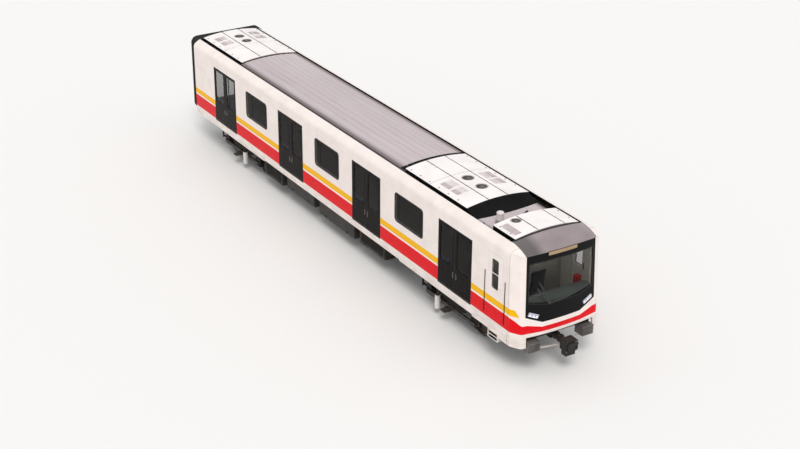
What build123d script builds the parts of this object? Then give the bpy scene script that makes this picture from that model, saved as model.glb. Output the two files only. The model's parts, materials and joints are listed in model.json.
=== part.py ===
"""Metro car: the leading car of a train, with a driver's cab at one end and a gangway at the other.

Millimetres. X runs forward to the cab, Y to the left, Z up from the lowest point of the wheel
flanges. The origin is on the floor below the middle of the car's overall length.
"""

import os
from math import atan2, cos, degrees, hypot, radians, sin, sqrt

from build123d import *

os.makedirs("parts", exist_ok=True)

# Overall sizes
overall_length = 19800
body_width = 2740
flange_depth = 28
rail_z = flange_depth
clearance = 0.3

# Places along the car
gangway_depth = 350
coupler_reach = 534
nose_length = 486
gangway_face_x = -overall_length / 2
body_rear_x = gangway_face_x + gangway_depth
nose_tip_x = overall_length / 2 - coupler_reach
nose_seam_x = nose_tip_x - nose_length

# Cross-section of the body; an inset is measured in from the side of the car
half_width = body_width / 2
wall = 80
inner_half = half_width - wall
sill_z = rail_z + 970
end_sill_z = rail_z + 932
cab_sill_z = rail_z + 885
cheek_z = rail_z + 800
floor_z = rail_z + 1150
deck_thickness = 70
ceiling_z = rail_z + 3372
cove_height = 120
shoulder_corner_z = rail_z + 3393
shoulder_z = rail_z + 3530
shoulder_y = half_width - 217
shoulder_radius = 150
roof_edge_y = half_width - 260
roof_sheet = 28

# Passenger doorways and windows
first_doorway_inset = 2310
last_doorway_inset = 2440
doorway_count = 4
doorway_width = 1584
doorway_low = rail_z + 1165
doorway_top = rail_z + 3066
leaf_thickness = 40
leaf_recess = 3
leaf_gap = 8
pane_margin = 85
pane_low = rail_z + 1900
pane_top = rail_z + 2985
window_margin = 753
window_low = rail_z + 2083
window_top = rail_z + 2980
window_radius = 120
glass_thickness = 20
glass_recess = 6

first_doorway_x = body_rear_x + first_doorway_inset
door_pitch = (nose_seam_x - last_doorway_inset - first_doorway_x) / (doorway_count - 1)
window_width = door_pitch - doorway_width - 2 * window_margin
doorway_xs = [first_doorway_x + i * door_pitch for i in range(doorway_count)]
window_xs = [(a + b) / 2 for a, b in zip(doorway_xs, doorway_xs[1:])]

# Cab side door, with its handrails and foot steps
cab_door_rear_x = nose_seam_x - 870
cab_door_width = 600
cab_door_low = floor_z + 8
cab_door_top = rail_z + 3110
cab_leaf_thickness = 60
cab_leaf_gap = 8
cab_hinge_gap = 5
hinge_pin_radius = 10
hinge_pin_reach = 18
cab_window_width = 330
cab_window_low = rail_z + 2105
cab_window_top = rail_z + 2985
cab_window_radius = 70
cab_window_rear = 100
lock_x = cab_door_rear_x + 500
lock_z = rail_z + 2180
lock_width = 44
lock_height = 120
lock_depth = 26
lock_bar_radius = 7
handrail_low = rail_z + 1278
handrail_top = rail_z + 2516
handrail_pocket_width = 64
handrail_pocket_depth = 66
handrail_radius = 14
step_width = 436
step_low_z = rail_z + 649
step_depth = 230
step_tread_height = 80
step_wall = 24

# Roof
crown_z = rail_z + 3665
vault_crown_z = rail_z + 3622
vault_edge_z = rail_z + 3530
vault_edge_y = half_width - 335
gutter_z = rail_z + 3462
roof_unit_half = half_width - 370
roof_unit_edge_z = rail_z + 3570
rear_well_length = 2920
front_well_length = 5480
vault_rear_x = body_rear_x + rear_well_length
vault_front_x = nose_seam_x - front_well_length
front_unit_length = 3020
cab_unit_length = 960
cab_unit_gap = 15
baffle_length = 470
roof_rib_pitch = 210
roof_rib_width = 36
roof_rib_height = 8
fan_radius = 190
cab_fan_radius = 152
fan_depth = 70
fan_lip = 16
fan_lip_height = 6
fan_hub_radius = 46
fan_hub_height = 34
fan_blade_count = 6
fan_blade_chord = 70
fan_blade_thickness = 5
fan_blade_pitch = 24
unit_seam_width = 12
unit_seam_depth = 5
grille_slot_width = 16
grille_slot_pitch = 40
grille_slot_depth = 9
mast_radius = 98
mast_height = 300
mast_cap_height = 14

# Nose
nose_wall = 60
nose_tip_z = rail_z + 1110
nose_lean = 2.7
nose_plan_radius = 7500
nose_taper_length = 379
nose_corner_y = half_width - 160
nose_corner_radius = 130
fairing_rear_x = nose_seam_x - 305
fairing_rear_z = rail_z + 3620
fairing_slope = 2.6
fairing_radius = 1562
fairing_turn = 27.4
roof_axis_radius = 7431
band_low_z = rail_z + 1095
opening_half = half_width - 300
mask_top_y = half_width - 288
mask_side_y = half_width - 270
mask_side_z = rail_z + 1672
mask_chin_y = half_width - 776
mask_chin_z = rail_z + 1445
screen_top_y = half_width - 350
screen_top_z = rail_z + 3150
screen_side_y = half_width - 335
screen_side_z = rail_z + 2040
screen_chin_y = half_width - 870
screen_chin_z = rail_z + 1915
screen_thickness = 24
screen_recess = 3
screen_corner = 60
lamp_y = half_width - 507
lamp_z = rail_z + 1690
lamp_width = 350
lamp_height = 140
lamp_depth = 45
lamp_recess = 4
lamp_cup_radius = 38
lamp_cup_depth = 14
lamp_cup_pitch = 105
lamp_bulb_radius = 14
display_half = 450
display_z = (rail_z + 3264, rail_z + 3364)
display_recess = 4
wiper_pivot_y = -407
wiper_pivot_z = rail_z + 1942
wiper_arm_width = 26
wiper_stand = 4
wiper_thickness = 12

# Bogies and wheels
rear_bogie_inset = 2850
front_bogie_inset = 2980
bogie_bay_half = 2200
wheelbase = 2200
tread_radius = 425
flange_radius = tread_radius + flange_depth
axle_z = flange_radius
back_to_back = 1360
shoe_reach = 1360
axle_radius = 85
journal_radius = 60
journal_start = 900
journal_end = 1040
axle_box_y = (journal_start + 6, 1070)
side_beam_y = (910, 1060)
side_beam_half_length = 1450
side_beam_top_z = rail_z + 760
side_beam_dip_z = rail_z + 600
side_beam_depth = 130
transom_x = (180, 340)
transom_z = (rail_z + 500, rail_z + 690)
king_pin_radius = 60
king_pin_low_z = rail_z + 520
air_spring_radius = 240
shoe_half = 120
post_radius = 75
air_spring_plate = 22
motor_radius = 215
motor_length = 640
motor_rib_pitch = 110
motor_rib_width = 30
motor_rib_height = 9
spring_layers = 5
spring_half = 110
spring_waist = 14
bogie_xs = {"rear": body_rear_x + rear_bogie_inset, "front": nose_seam_x - front_bogie_inset}

# Front coupler
coupler_z = rail_z + 816
coupler_pivot_x = nose_seam_x + 120
coupler_pin_radius = 35
coupler_shank_radius = 88
coupler_head_length = 330


def block(x, y, z, mode=Mode.ADD):
    """A box given by its limits along each axis."""
    with Locations(((x[0] + x[1]) / 2, (y[0] + y[1]) / 2, (z[0] + z[1]) / 2)):
        Box(x[1] - x[0], y[1] - y[0], z[1] - z[0], mode=mode)


def both_sides(y):
    """The same pair of Y limits on the right and on the left."""
    return [(-y[1], -y[0]), (y[0], y[1])]


def arch_radius(half, edge_z, crown):
    """Radius of the arc over both edges and the crown."""
    rise = crown - edge_z
    return (half**2 + rise**2) / (2 * rise)


def arch_z(y, half, edge_z, crown):
    """Height at y of the arc over both edges and the crown."""
    radius = arch_radius(half, edge_z, crown)
    return crown - radius + sqrt(radius**2 - y**2)


def finish(part, label):
    """Label a finished piece and write its file."""
    part.label = label
    export_step(part, f"parts/{label}.step")


def cross_section(inset=0):
    """Outline of the body's sides and shoulders, which runs on above the roof; the inset
    pulls in the sides and lets the bottom run out below the cheeks."""
    slope = (shoulder_z - shoulder_corner_z) / (half_width - shoulder_y)
    run = shoulder_y - 800
    top = (shoulder_y - run, shoulder_z + run * slope)
    low_z = cheek_z - 2 * inset
    with BuildSketch() as outline:
        with BuildLine():
            right = FilletPolyline(
                (-half_width, low_z),
                (-half_width, shoulder_corner_z),
                (-top[0], top[1]),
                radius=shoulder_radius,
            )
            mirror(right, about=Plane.YZ)
            Line((-top[0], top[1]), top)
            Line((-half_width, low_z), (half_width, low_z))
        make_face()
        if inset:
            offset(amount=-inset, mode=Mode.REPLACE)
    return outline.sketch


def above_fairing(inset=0):
    """What lies above the nose's roof line: an arc turned about an axis far below the roof."""
    start = (fairing_rear_x - 1, fairing_rear_z - inset)
    top_z = fairing_rear_z + 400
    axis = Axis((0, 0, fairing_rear_z - roof_axis_radius), (1, 0, 0))
    with BuildPart() as above:
        with BuildSketch(Plane.XZ):
            with BuildLine():
                arc = JernArc(
                    start=start,
                    tangent=(cos(radians(fairing_slope)), -sin(radians(fairing_slope))),
                    radius=fairing_radius - inset,
                    arc_size=-fairing_turn,
                )
                run = PolarLine(arc @ 1, 500, direction=arc % 1)
                Polyline(run @ 1, ((run @ 1).X, top_z), (start[0], top_z), start)
            make_face()
        revolve(axis=axis, revolution_arc=40)
    return above.part.rotate(axis, -20)


def nose_volume(inset=0, rear_x=nose_seam_x):
    """The closed form of the nose, with every outer face pulled in by the inset."""
    lean = radians(nose_lean)
    front = Plane(
        origin=(nose_tip_x, 0, nose_tip_z),
        x_dir=(cos(lean), 0, sin(lean)),
        z_dir=(-sin(lean), 0, cos(lean)),
    )
    corner_x = sqrt(nose_plan_radius**2 - nose_corner_y**2) - nose_plan_radius
    with BuildPart() as volume:
        with BuildSketch(Plane.YZ.offset(rear_x)):
            add(cross_section(inset))
        extrude(amount=nose_tip_x + 200 - rear_x)
        with BuildSketch(front) as plan:
            with BuildLine():
                ThreePointArc((corner_x, -nose_corner_y), (0, 0), (corner_x, nose_corner_y))
                Polyline(
                    (corner_x, nose_corner_y),
                    (-nose_taper_length, half_width),
                    (-1500, half_width),
                    (-1500, -half_width),
                    (-nose_taper_length, -half_width),
                    (corner_x, -nose_corner_y),
                )
            make_face()
            corners = plan.vertices().filter_by_position(Axis.X, corner_x - 1, corner_x + 1)
            fillet(corners, radius=nose_corner_radius)
            if inset:
                offset(amount=-inset, mode=Mode.REPLACE)
        extrude(amount=2900, both=True, mode=Mode.INTERSECT)
        add(above_fairing(inset), mode=Mode.SUBTRACT)
    return volume.part


def front_prism(outline, radius=0):
    """A prism along X over the front face, from an outline drawn as seen from the front."""
    with BuildPart() as prism:
        with BuildSketch(Plane.YZ.offset(nose_seam_x + 60)) as face:
            with BuildLine():
                Polyline(*outline, close=True)
            make_face()
            if radius:
                fillet(face.vertices(), radius=radius)
        extrude(amount=nose_length)
    return prism.part


def side_plates(x, z, thickness, radius=0, mode=Mode.ADD, depth=0):
    """A plate on the right side of the car, its outer face the given depth inside the skin."""
    with BuildSketch(Plane.XZ.offset(half_width - depth)) as plate:
        with Locations(((x[0] + x[1]) / 2, (z[0] + z[1]) / 2)):
            if radius:
                RectangleRounded(x[1] - x[0], z[1] - z[0], radius)
            else:
                Rectangle(x[1] - x[0], z[1] - z[0])
    extrude(plate.sketch, amount=-thickness, mode=mode)


# Underframe: the deck on its side sills and centre sills, which stop at the bolsters
nose_floor_x = nose_seam_x + 300
nose_floor_half = opening_half - 20
front_beam_z = rail_z + 934
deck_low_z = floor_z - deck_thickness
side_sill_y = (inner_half - 140, inner_half)
centre_sill_y = (300, 450)
bolster_half = 350
bearer_count = 20
bearer_width = 60
bearer_lift = 40
with BuildPart() as underframe:
    block((body_rear_x, nose_seam_x), (-inner_half, inner_half), (deck_low_z, floor_z))
    block((nose_seam_x, nose_floor_x), (-nose_floor_half, nose_floor_half), (front_beam_z, floor_z))
    for y in both_sides(side_sill_y) + both_sides(centre_sill_y):
        block((body_rear_x, nose_seam_x), y, (sill_z, deck_low_z))
    for i in range(1, bearer_count + 1):
        bearer_x = body_rear_x + i * (nose_seam_x - body_rear_x) / (bearer_count + 1)
        block(
            (bearer_x - bearer_width / 2, bearer_x + bearer_width / 2),
            (-inner_half, inner_half),
            (sill_z + bearer_lift, deck_low_z),
        )
    for pivot_x in bogie_xs.values():
        block(
            (pivot_x - bolster_half, pivot_x + bolster_half),
            (-half_width, half_width),
            (sill_z - 1, deck_low_z),
            Mode.SUBTRACT,
        )
finish(underframe.part, "underframe")

# Cross beams: two bolsters with king pins, the rear headstock and the coupler's anchor
headstock_length = 120
headstock_half = centre_sill_y[0]
headstock_low_z = rail_z + 640
anchor_half = 110
anchor_plate = 44
anchor_rear = 260
anchor_web = 90
eye_low_z = coupler_z - 66
eye_top_z = coupler_z + 66
anchor_x = (coupler_pivot_x - anchor_rear, coupler_pivot_x + anchor_web)
anchor_y = (-anchor_half, anchor_half)
with BuildPart() as cross_beams:
    for pivot_x in bogie_xs.values():
        block(
            (pivot_x - bolster_half, pivot_x + bolster_half),
            (-inner_half, inner_half),
            (sill_z, deck_low_z),
        )
        with Locations((pivot_x, 0, (king_pin_low_z + sill_z) / 2)):
            Cylinder(king_pin_radius, sill_z - king_pin_low_z)
    block(
        (body_rear_x, body_rear_x + headstock_length),
        (-headstock_half, headstock_half),
        (headstock_low_z, deck_low_z),
    )
    block((anchor_x[0], nose_seam_x), anchor_y, (front_beam_z, deck_low_z))
    block(anchor_x, anchor_y, (eye_top_z, front_beam_z))
    block(anchor_x, anchor_y, (eye_low_z - anchor_plate, eye_low_z))
    block((anchor_x[0], anchor_x[0] + anchor_web), anchor_y, (eye_low_z, eye_top_z))
    with Locations((coupler_pivot_x, 0, coupler_z)):
        Cylinder(coupler_pin_radius, eye_top_z - eye_low_z + 2 * anchor_plate)
finish(cross_beams.part, "cross_beams")

# Side walls: flat panels cut for doorways, windows, cab door and handrails
cab_door_front_x = cab_door_rear_x + cab_door_width
cab_sill_reach = 740
cant_rail_z = ceiling_z - cove_height
handrail_xs = [cab_door_rear_x - 185, cab_door_front_x + 97]
step_x = (cab_door_rear_x + 28, cab_door_rear_x + 28 + step_width)
sill_zones = [
    # from x, to x, bottom edge
    (body_rear_x, bogie_xs["rear"] + bogie_bay_half, end_sill_z),
    (bogie_xs["rear"] + bogie_bay_half, bogie_xs["front"] - bogie_bay_half, sill_z),
    (bogie_xs["front"] - bogie_bay_half, step_x[0] - cab_sill_reach, end_sill_z),
    (step_x[0] - cab_sill_reach, step_x[1], cab_sill_z),
]
hinge_y = -(half_width - cab_leaf_thickness)
with BuildPart() as side_wall_right:
    block((body_rear_x, nose_seam_x), (-half_width, -inner_half), (cheek_z, cant_rail_z))
    for rear_x, front_x, low_z in sill_zones:
        block((rear_x, front_x), (-half_width - 1, -inner_half + 1), (cheek_z - 1, low_z), Mode.SUBTRACT)
    for x in doorway_xs:
        side_plates(
            (x - doorway_width / 2, x + doorway_width / 2),
            (doorway_low, doorway_top),
            wall,
            mode=Mode.SUBTRACT,
        )
    for x in window_xs:
        side_plates(
            (x - window_width / 2, x + window_width / 2),
            (window_low, window_top),
            wall,
            window_radius,
            Mode.SUBTRACT,
        )
    side_plates(
        (cab_door_rear_x - cab_hinge_gap, cab_door_front_x + cab_leaf_gap),
        (cab_door_low - cab_leaf_gap, cab_door_top + cab_leaf_gap),
        wall,
        mode=Mode.SUBTRACT,
    )
    with Locations((cab_door_rear_x + hinge_pin_radius, hinge_y, (cab_door_low + cab_door_top) / 2)):
        Cylinder(
            hinge_pin_radius + clearance,
            cab_door_top - cab_door_low + 2 * (hinge_pin_reach + clearance),
            mode=Mode.SUBTRACT,
        )
    for x in handrail_xs:
        side_plates(
            (x - handrail_pocket_width / 2, x + handrail_pocket_width / 2),
            (handrail_low, handrail_top),
            handrail_pocket_depth,
            handrail_pocket_width / 2 - 1,
            Mode.SUBTRACT,
        )
finish(side_wall_right.part, "side_wall_right")
with BuildPart() as side_wall_left:
    mirror(side_wall_right.part, about=Plane.XZ)
finish(side_wall_left.part, "side_wall_left")

# Cant rails: the rounded shoulders that carry the roof on the side walls
with BuildPart() as cant_rails:
    with BuildSketch(Plane.YZ.offset(body_rear_x)):
        with BuildLine():
            outer = FilletPolyline(
                (-half_width, cant_rail_z),
                (-half_width, shoulder_corner_z),
                (-shoulder_y, shoulder_z),
                radius=shoulder_radius,
            )
            Polyline(
                outer @ 1,
                (-roof_edge_y, shoulder_z),
                (-roof_edge_y, ceiling_z),
                (-inner_half, cant_rail_z),
                outer @ 0,
            )
        make_face()
    extrude(amount=nose_seam_x - body_rear_x)
    add(above_fairing(), mode=Mode.SUBTRACT)
    mirror(about=Plane.XZ)
finish(cant_rails.part, "cant_rails")

# Passenger door leaves and the panes of doors and windows
pane_radius = 60
with BuildPart() as passenger_doors:
    for x in doorway_xs:
        for leaf_x in [(x - doorway_width / 2, x - leaf_gap / 2), (x + leaf_gap / 2, x + doorway_width / 2)]:
            side_plates(leaf_x, (doorway_low, doorway_top), leaf_thickness, depth=leaf_recess)
            side_plates(
                (leaf_x[0] + pane_margin, leaf_x[1] - pane_margin),
                (pane_low, pane_top),
                leaf_thickness,
                pane_radius,
                Mode.SUBTRACT,
                leaf_recess,
            )
    mirror(about=Plane.XZ)
finish(passenger_doors.part, "passenger_doors")
with BuildPart() as side_glass:
    for x in doorway_xs:
        for leaf_x in [(x - doorway_width / 2, x - leaf_gap / 2), (x + leaf_gap / 2, x + doorway_width / 2)]:
            side_plates(
                (leaf_x[0] + pane_margin, leaf_x[1] - pane_margin),
                (pane_low, pane_top),
                glass_thickness,
                pane_radius,
                depth=glass_recess,
            )
    for x in window_xs:
        side_plates(
            (x - window_width / 2, x + window_width / 2),
            (window_low, window_top),
            glass_thickness,
            window_radius,
            depth=glass_recess,
        )
    mirror(about=Plane.XZ)
finish(side_glass.part, "side_glass")

# Cab side doors: a leaf that turns inward on two pins at its rear inner edge
cab_window_x = (cab_door_rear_x + cab_window_rear, cab_door_rear_x + cab_window_rear + cab_window_width)
with BuildPart() as cab_door_right:
    side_plates((cab_door_rear_x, cab_door_front_x), (cab_door_low, cab_door_top), cab_leaf_thickness)
    side_plates(
        cab_window_x,
        (cab_window_low, cab_window_top),
        cab_leaf_thickness,
        cab_window_radius,
        Mode.SUBTRACT,
    )
    side_plates(
        (lock_x - lock_width / 2, lock_x + lock_width / 2),
        (lock_z - lock_height / 2, lock_z + lock_height / 2),
        lock_depth,
        lock_width / 2 - 1,
        Mode.SUBTRACT,
    )
    with Locations((lock_x, -half_width + lock_bar_radius + 1, lock_z)):
        Cylinder(lock_bar_radius, lock_height + 8)
    with Locations((cab_door_rear_x + hinge_pin_radius, hinge_y, (cab_door_low + cab_door_top) / 2)):
        Cylinder(hinge_pin_radius, cab_door_top - cab_door_low + 2 * hinge_pin_reach)
finish(cab_door_right.part, "cab_door_right")
with BuildPart() as cab_door_left:
    mirror(cab_door_right.part, about=Plane.XZ)
finish(cab_door_left.part, "cab_door_left")
with BuildPart() as cab_door_glass_right:
    side_plates(
        cab_window_x,
        (cab_window_low, cab_window_top),
        glass_thickness,
        cab_window_radius,
        depth=glass_recess,
    )
finish(cab_door_glass_right.part, "cab_door_glass_right")
with BuildPart() as cab_door_glass_left:
    mirror(cab_door_glass_right.part, about=Plane.XZ)
finish(cab_door_glass_left.part, "cab_door_glass_left")

# Handrails in their pockets beside the cab doors
with BuildPart() as cab_handrails:
    for x in handrail_xs:
        with Locations((x, -half_width + handrail_radius + 6, (handrail_low + handrail_top) / 2)):
            Cylinder(handrail_radius, handrail_top - handrail_low - 50)
        for z in (handrail_low + 60, handrail_top - 60):
            block(
                (x - 8, x + 8),
                (-half_width + handrail_radius, -half_width + handrail_pocket_depth),
                (z - 12, z + 12),
            )
    mirror(about=Plane.XZ)
finish(cab_handrails.part, "cab_handrails")

# Foot steps below the cab doors, open towards the outside
with BuildPart() as cab_steps:
    block(step_x, (-half_width, -half_width + step_depth), (step_low_z, cab_sill_z))
    tread_x = (step_x[0] + step_wall, step_x[1] - step_wall)
    for tread in range(2):
        tread_z = step_low_z + step_wall + tread * (step_tread_height + step_wall)
        block(
            tread_x,
            (-half_width - 1, -half_width + step_depth - step_wall),
            (tread_z, tread_z + step_tread_height),
            Mode.SUBTRACT,
        )
    mirror(about=Plane.XZ)
finish(cab_steps.part, "cab_steps")

# Roof: a vault over a flat ceiling between two low wells, with a slope behind the front unit
front_unit_x = (vault_front_x, vault_front_x + front_unit_length)
rear_unit_x = (body_rear_x + 30, vault_rear_x)
cab_unit_x = (fairing_rear_x - cab_unit_gap - cab_unit_length, fairing_rear_x - cab_unit_gap)
well_top_z = ceiling_z + roof_sheet
with BuildPart() as roof_vault:
    with BuildSketch(Plane.YZ.offset(vault_rear_x)):
        with BuildLine():
            ThreePointArc((-vault_edge_y, vault_edge_z), (0, vault_crown_z), (vault_edge_y, vault_edge_z))
            Polyline(
                (vault_edge_y, vault_edge_z),
                (vault_edge_y, gutter_z),
                (roof_edge_y, gutter_z),
                (roof_edge_y, ceiling_z),
                (-roof_edge_y, ceiling_z),
                (-roof_edge_y, gutter_z),
                (-vault_edge_y, gutter_z),
                (-vault_edge_y, vault_edge_z),
            )
        make_face()
    extrude(amount=vault_front_x - vault_rear_x)
    rib_count = int(vault_edge_y / roof_rib_pitch)
    for i in range(-rib_count, rib_count + 1):
        rib_y = i * roof_rib_pitch
        rib_z = arch_z(rib_y, vault_edge_y, vault_edge_z, vault_crown_z)
        block(
            (vault_rear_x, vault_front_x),
            (rib_y - roof_rib_width / 2, rib_y + roof_rib_width / 2),
            (rib_z - roof_rib_height, rib_z + roof_rib_height),
        )
finish(roof_vault.part, "roof_vault")
with BuildPart() as roof_wells:
    block((body_rear_x, vault_rear_x), (-roof_edge_y, roof_edge_y), (ceiling_z, well_top_z))
    block((vault_front_x, nose_seam_x), (-roof_edge_y, roof_edge_y), (ceiling_z, well_top_z))
finish(roof_wells.part, "roof_wells")
baffle_slopes = [
    # height in the middle, height at the sides, length along the car
    (crown_z - well_top_z, roof_unit_edge_z - well_top_z, 0.7 * baffle_length),
    (0.66 * (crown_z - well_top_z), 0.55 * (crown_z - well_top_z), baffle_length),
]
with BuildPart() as roof_baffle:
    for middle, edge, run in baffle_slopes:
        with BuildSketch(Plane.YZ.offset(front_unit_x[1])) as arch:
            with BuildLine():
                ThreePointArc(
                    (-roof_unit_half, well_top_z + edge),
                    (0, well_top_z + middle),
                    (roof_unit_half, well_top_z + edge),
                )
                Polyline(
                    (roof_unit_half, well_top_z + edge),
                    (roof_unit_half, well_top_z - 2 * middle),
                    (-roof_unit_half, well_top_z - 2 * middle),
                    (-roof_unit_half, well_top_z + edge),
                )
            make_face()
        extrude(arch.sketch, amount=hypot(run, middle), dir=(run, 0, -middle))
    block(
        (front_unit_x[1] - 1, front_unit_x[1] + 2 * baffle_length),
        (-half_width, half_width),
        (well_top_z - 1000, well_top_z),
        Mode.SUBTRACT,
    )
finish(roof_baffle.part, "roof_baffle")

# Roof units: low housings with seams, slotted grilles and fans in round wells
fans = [
    # centre x, centre y, radius of the well
    (body_rear_x + 756, 0, fan_radius),
    (body_rear_x + 1294, 0, fan_radius),
    (vault_front_x + 1595, 0, fan_radius),
    (vault_front_x + 2247, 0, fan_radius),
    (cab_unit_x[0] + 215, -441, cab_fan_radius),
]
unit_seams = [
    # ends of the unit, y of its two lengthwise seams, x of its cross seam
    (rear_unit_x, (-310, 310), rear_unit_x[1] - 1320),
    (front_unit_x, (-310, 310), front_unit_x[0] + 1220),
    (cab_unit_x, (-280, 560), None),
]
grilles = [
    # rear end x, middle y, length, width
    (rear_unit_x[0] + 400, -620, 360, 360),
    (rear_unit_x[0] + 400, 620, 360, 360),
    (rear_unit_x[0] + 860, -620, 360, 360),
    (rear_unit_x[0] + 860, 620, 360, 360),
    (front_unit_x[0] + 1400, -620, 470, 360),
    (front_unit_x[0] + 1400, 620, 470, 360),
    (front_unit_x[0] + 1920, -620, 380, 360),
    (front_unit_x[0] + 1920, 620, 380, 360),
    (cab_unit_x[0] + 180, -800, 640, 200),
]


def over_units(depth):
    """The space over the roof units' tops, from the given depth below them."""
    with BuildPart() as space:
        with BuildSketch(Plane.YZ.offset(rear_unit_x[0] - 1)):
            with BuildLine():
                ThreePointArc(
                    (-roof_unit_half, roof_unit_edge_z - depth),
                    (0, crown_z - depth),
                    (roof_unit_half, roof_unit_edge_z - depth),
                )
                Polyline(
                    (roof_unit_half, roof_unit_edge_z - depth),
                    (roof_unit_half, crown_z + 60),
                    (-roof_unit_half, crown_z + 60),
                    (-roof_unit_half, roof_unit_edge_z - depth),
                )
            make_face()
        extrude(amount=cab_unit_x[1] - rear_unit_x[0] + 2)
    return space.part


with BuildPart() as seam_cutter:
    for x, seam_ys, cross_x in unit_seams:
        for seam_y in seam_ys:
            block(
                x,
                (seam_y - unit_seam_width / 2, seam_y + unit_seam_width / 2),
                (roof_unit_edge_z - 100, crown_z + 50),
            )
        if cross_x:
            block(
                (cross_x - unit_seam_width / 2, cross_x + unit_seam_width / 2),
                (-half_width, half_width),
                (roof_unit_edge_z - 100, crown_z + 50),
            )
    add(over_units(unit_seam_depth), mode=Mode.INTERSECT)
with BuildPart() as slot_cutter:
    with BuildSketch(Plane.XY.offset(roof_unit_edge_z - 100)):
        for rear_x, middle_y, length, width in grilles:
            with Locations((rear_x + length / 2, middle_y)):
                with GridLocations(grille_slot_pitch, 0, int(length / grille_slot_pitch), 1):
                    Rectangle(grille_slot_width, width)
    extrude(amount=crown_z + 60 - roof_unit_edge_z)
    add(over_units(grille_slot_depth), mode=Mode.INTERSECT)
with BuildPart() as roof_units:
    for x in (rear_unit_x, front_unit_x, cab_unit_x):
        with BuildSketch(Plane.YZ.offset(x[0])):
            with BuildLine():
                ThreePointArc(
                    (-roof_unit_half, roof_unit_edge_z),
                    (0, crown_z),
                    (roof_unit_half, roof_unit_edge_z),
                )
                Polyline(
                    (roof_unit_half, roof_unit_edge_z),
                    (roof_unit_half, well_top_z),
                    (-roof_unit_half, well_top_z),
                    (-roof_unit_half, roof_unit_edge_z),
                )
            make_face()
        extrude(amount=x[1] - x[0])
    add(seam_cutter.part, mode=Mode.SUBTRACT)
    add(slot_cutter.part, mode=Mode.SUBTRACT)
    for x, y, radius in fans:
        lip_z = arch_z(abs(y), roof_unit_half, roof_unit_edge_z, crown_z) + fan_lip_height
        well_floor_z = lip_z - fan_lip_height - fan_depth
        with Locations((x, y, lip_z)):
            Cylinder(radius + fan_lip, 40, align=(Align.CENTER, Align.CENTER, Align.MAX))
        with Locations((x, y, well_floor_z)):
            Cylinder(radius, 200, align=(Align.CENTER, Align.CENTER, Align.MIN), mode=Mode.SUBTRACT)
            Cylinder(fan_hub_radius, fan_hub_height, align=(Align.CENTER, Align.CENTER, Align.MIN))
        with Locations((x, y, well_floor_z + fan_hub_height / 2)):
            with PolarLocations(radius / 2 + 6, fan_blade_count):
                Box(radius - 24, fan_blade_chord, fan_blade_thickness, rotation=(fan_blade_pitch, 0, 0))
finish(roof_units.part, "roof_units")

# Antenna mast and small aerial in the front well
mast_place = (cab_unit_x[0] - 325, -545)
aerial_place = (cab_unit_x[0] - 367, 354)
with BuildPart() as roof_antenna:
    with Locations((*mast_place, well_top_z)):
        Cylinder(mast_radius + 32, 20, align=(Align.CENTER, Align.CENTER, Align.MIN))
        Cylinder(mast_radius + 8, 52, align=(Align.CENTER, Align.CENTER, Align.MIN))
        Cylinder(mast_radius, mast_height - mast_cap_height, align=(Align.CENTER, Align.CENTER, Align.MIN))
    with Locations((*mast_place, well_top_z + mast_height - mast_cap_height)):
        Cone(
            mast_radius,
            mast_radius - mast_cap_height,
            mast_cap_height,
            align=(Align.CENTER, Align.CENTER, Align.MIN),
        )
    with BuildSketch(Plane.XY.offset(well_top_z)) as foot:
        with Locations(aerial_place):
            RectangleRounded(150, 90, 20)
    extrude(foot.sketch, amount=60, taper=14)
    with BuildSketch(Plane.XZ.offset(-aerial_place[1] - 7)) as fin:
        with BuildLine():
            Polyline(
                (aerial_place[0] - 45, well_top_z + 30),
                (aerial_place[0] - 20, well_top_z + 105),
                (aerial_place[0] + 30, well_top_z + 105),
                (aerial_place[0] + 45, well_top_z + 30),
                close=True,
            )
        make_face()
    extrude(fin.sketch, amount=14)
finish(roof_antenna.part, "roof_antenna")

# Rear end wall, gangway frame with its passage and the folded bellows
end_wall_thickness = 60
passage_half = 780
passage_top_z = rail_z + 3130
passage_liner = 36
bellows_half = half_width - 70
bellows_low_z = rail_z + 960
bellows_top_z = rail_z + 3560
bellows_corner = 220
bellows_wall = 70
bellows_folds = 5
bellows_fold_depth = 32
face_frame = 60
with BuildPart() as end_wall:
    with BuildSketch(Plane.YZ.offset(body_rear_x)):
        with BuildLine():
            Polyline(
                (-inner_half, floor_z),
                (-inner_half, ceiling_z - cove_height),
                (-roof_edge_y, ceiling_z),
                (roof_edge_y, ceiling_z),
                (inner_half, ceiling_z - cove_height),
                (inner_half, floor_z),
                close=True,
            )
        make_face()
    extrude(amount=end_wall_thickness)
    block(
        (body_rear_x - 1, body_rear_x + end_wall_thickness + 1),
        (-passage_half, passage_half),
        (floor_z - 1, passage_top_z),
        Mode.SUBTRACT,
    )
finish(end_wall.part, "end_wall")
bellows_mid_z = (bellows_low_z + bellows_top_z) / 2
bellows_height = bellows_top_z - bellows_low_z
with BuildPart() as gangway_frame:
    with BuildSketch(Plane.YZ.offset(gangway_face_x)):
        with Locations((0, bellows_mid_z)):
            RectangleRounded(2 * bellows_half, bellows_height, bellows_corner)
    extrude(amount=face_frame)
    block(
        (gangway_face_x, body_rear_x),
        (-passage_half - passage_liner, passage_half + passage_liner),
        (floor_z - passage_liner, passage_top_z + passage_liner),
    )
    block(
        (gangway_face_x - 1, body_rear_x + 1),
        (-passage_half, passage_half),
        (floor_z, passage_top_z),
        Mode.SUBTRACT,
    )
finish(gangway_frame.part, "gangway_frame")
bellows_x = (gangway_face_x + face_frame, body_rear_x)
fold = (bellows_x[1] - bellows_x[0]) / bellows_folds
bellows_taper = degrees(atan2(bellows_fold_depth, fold / 2))
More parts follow.
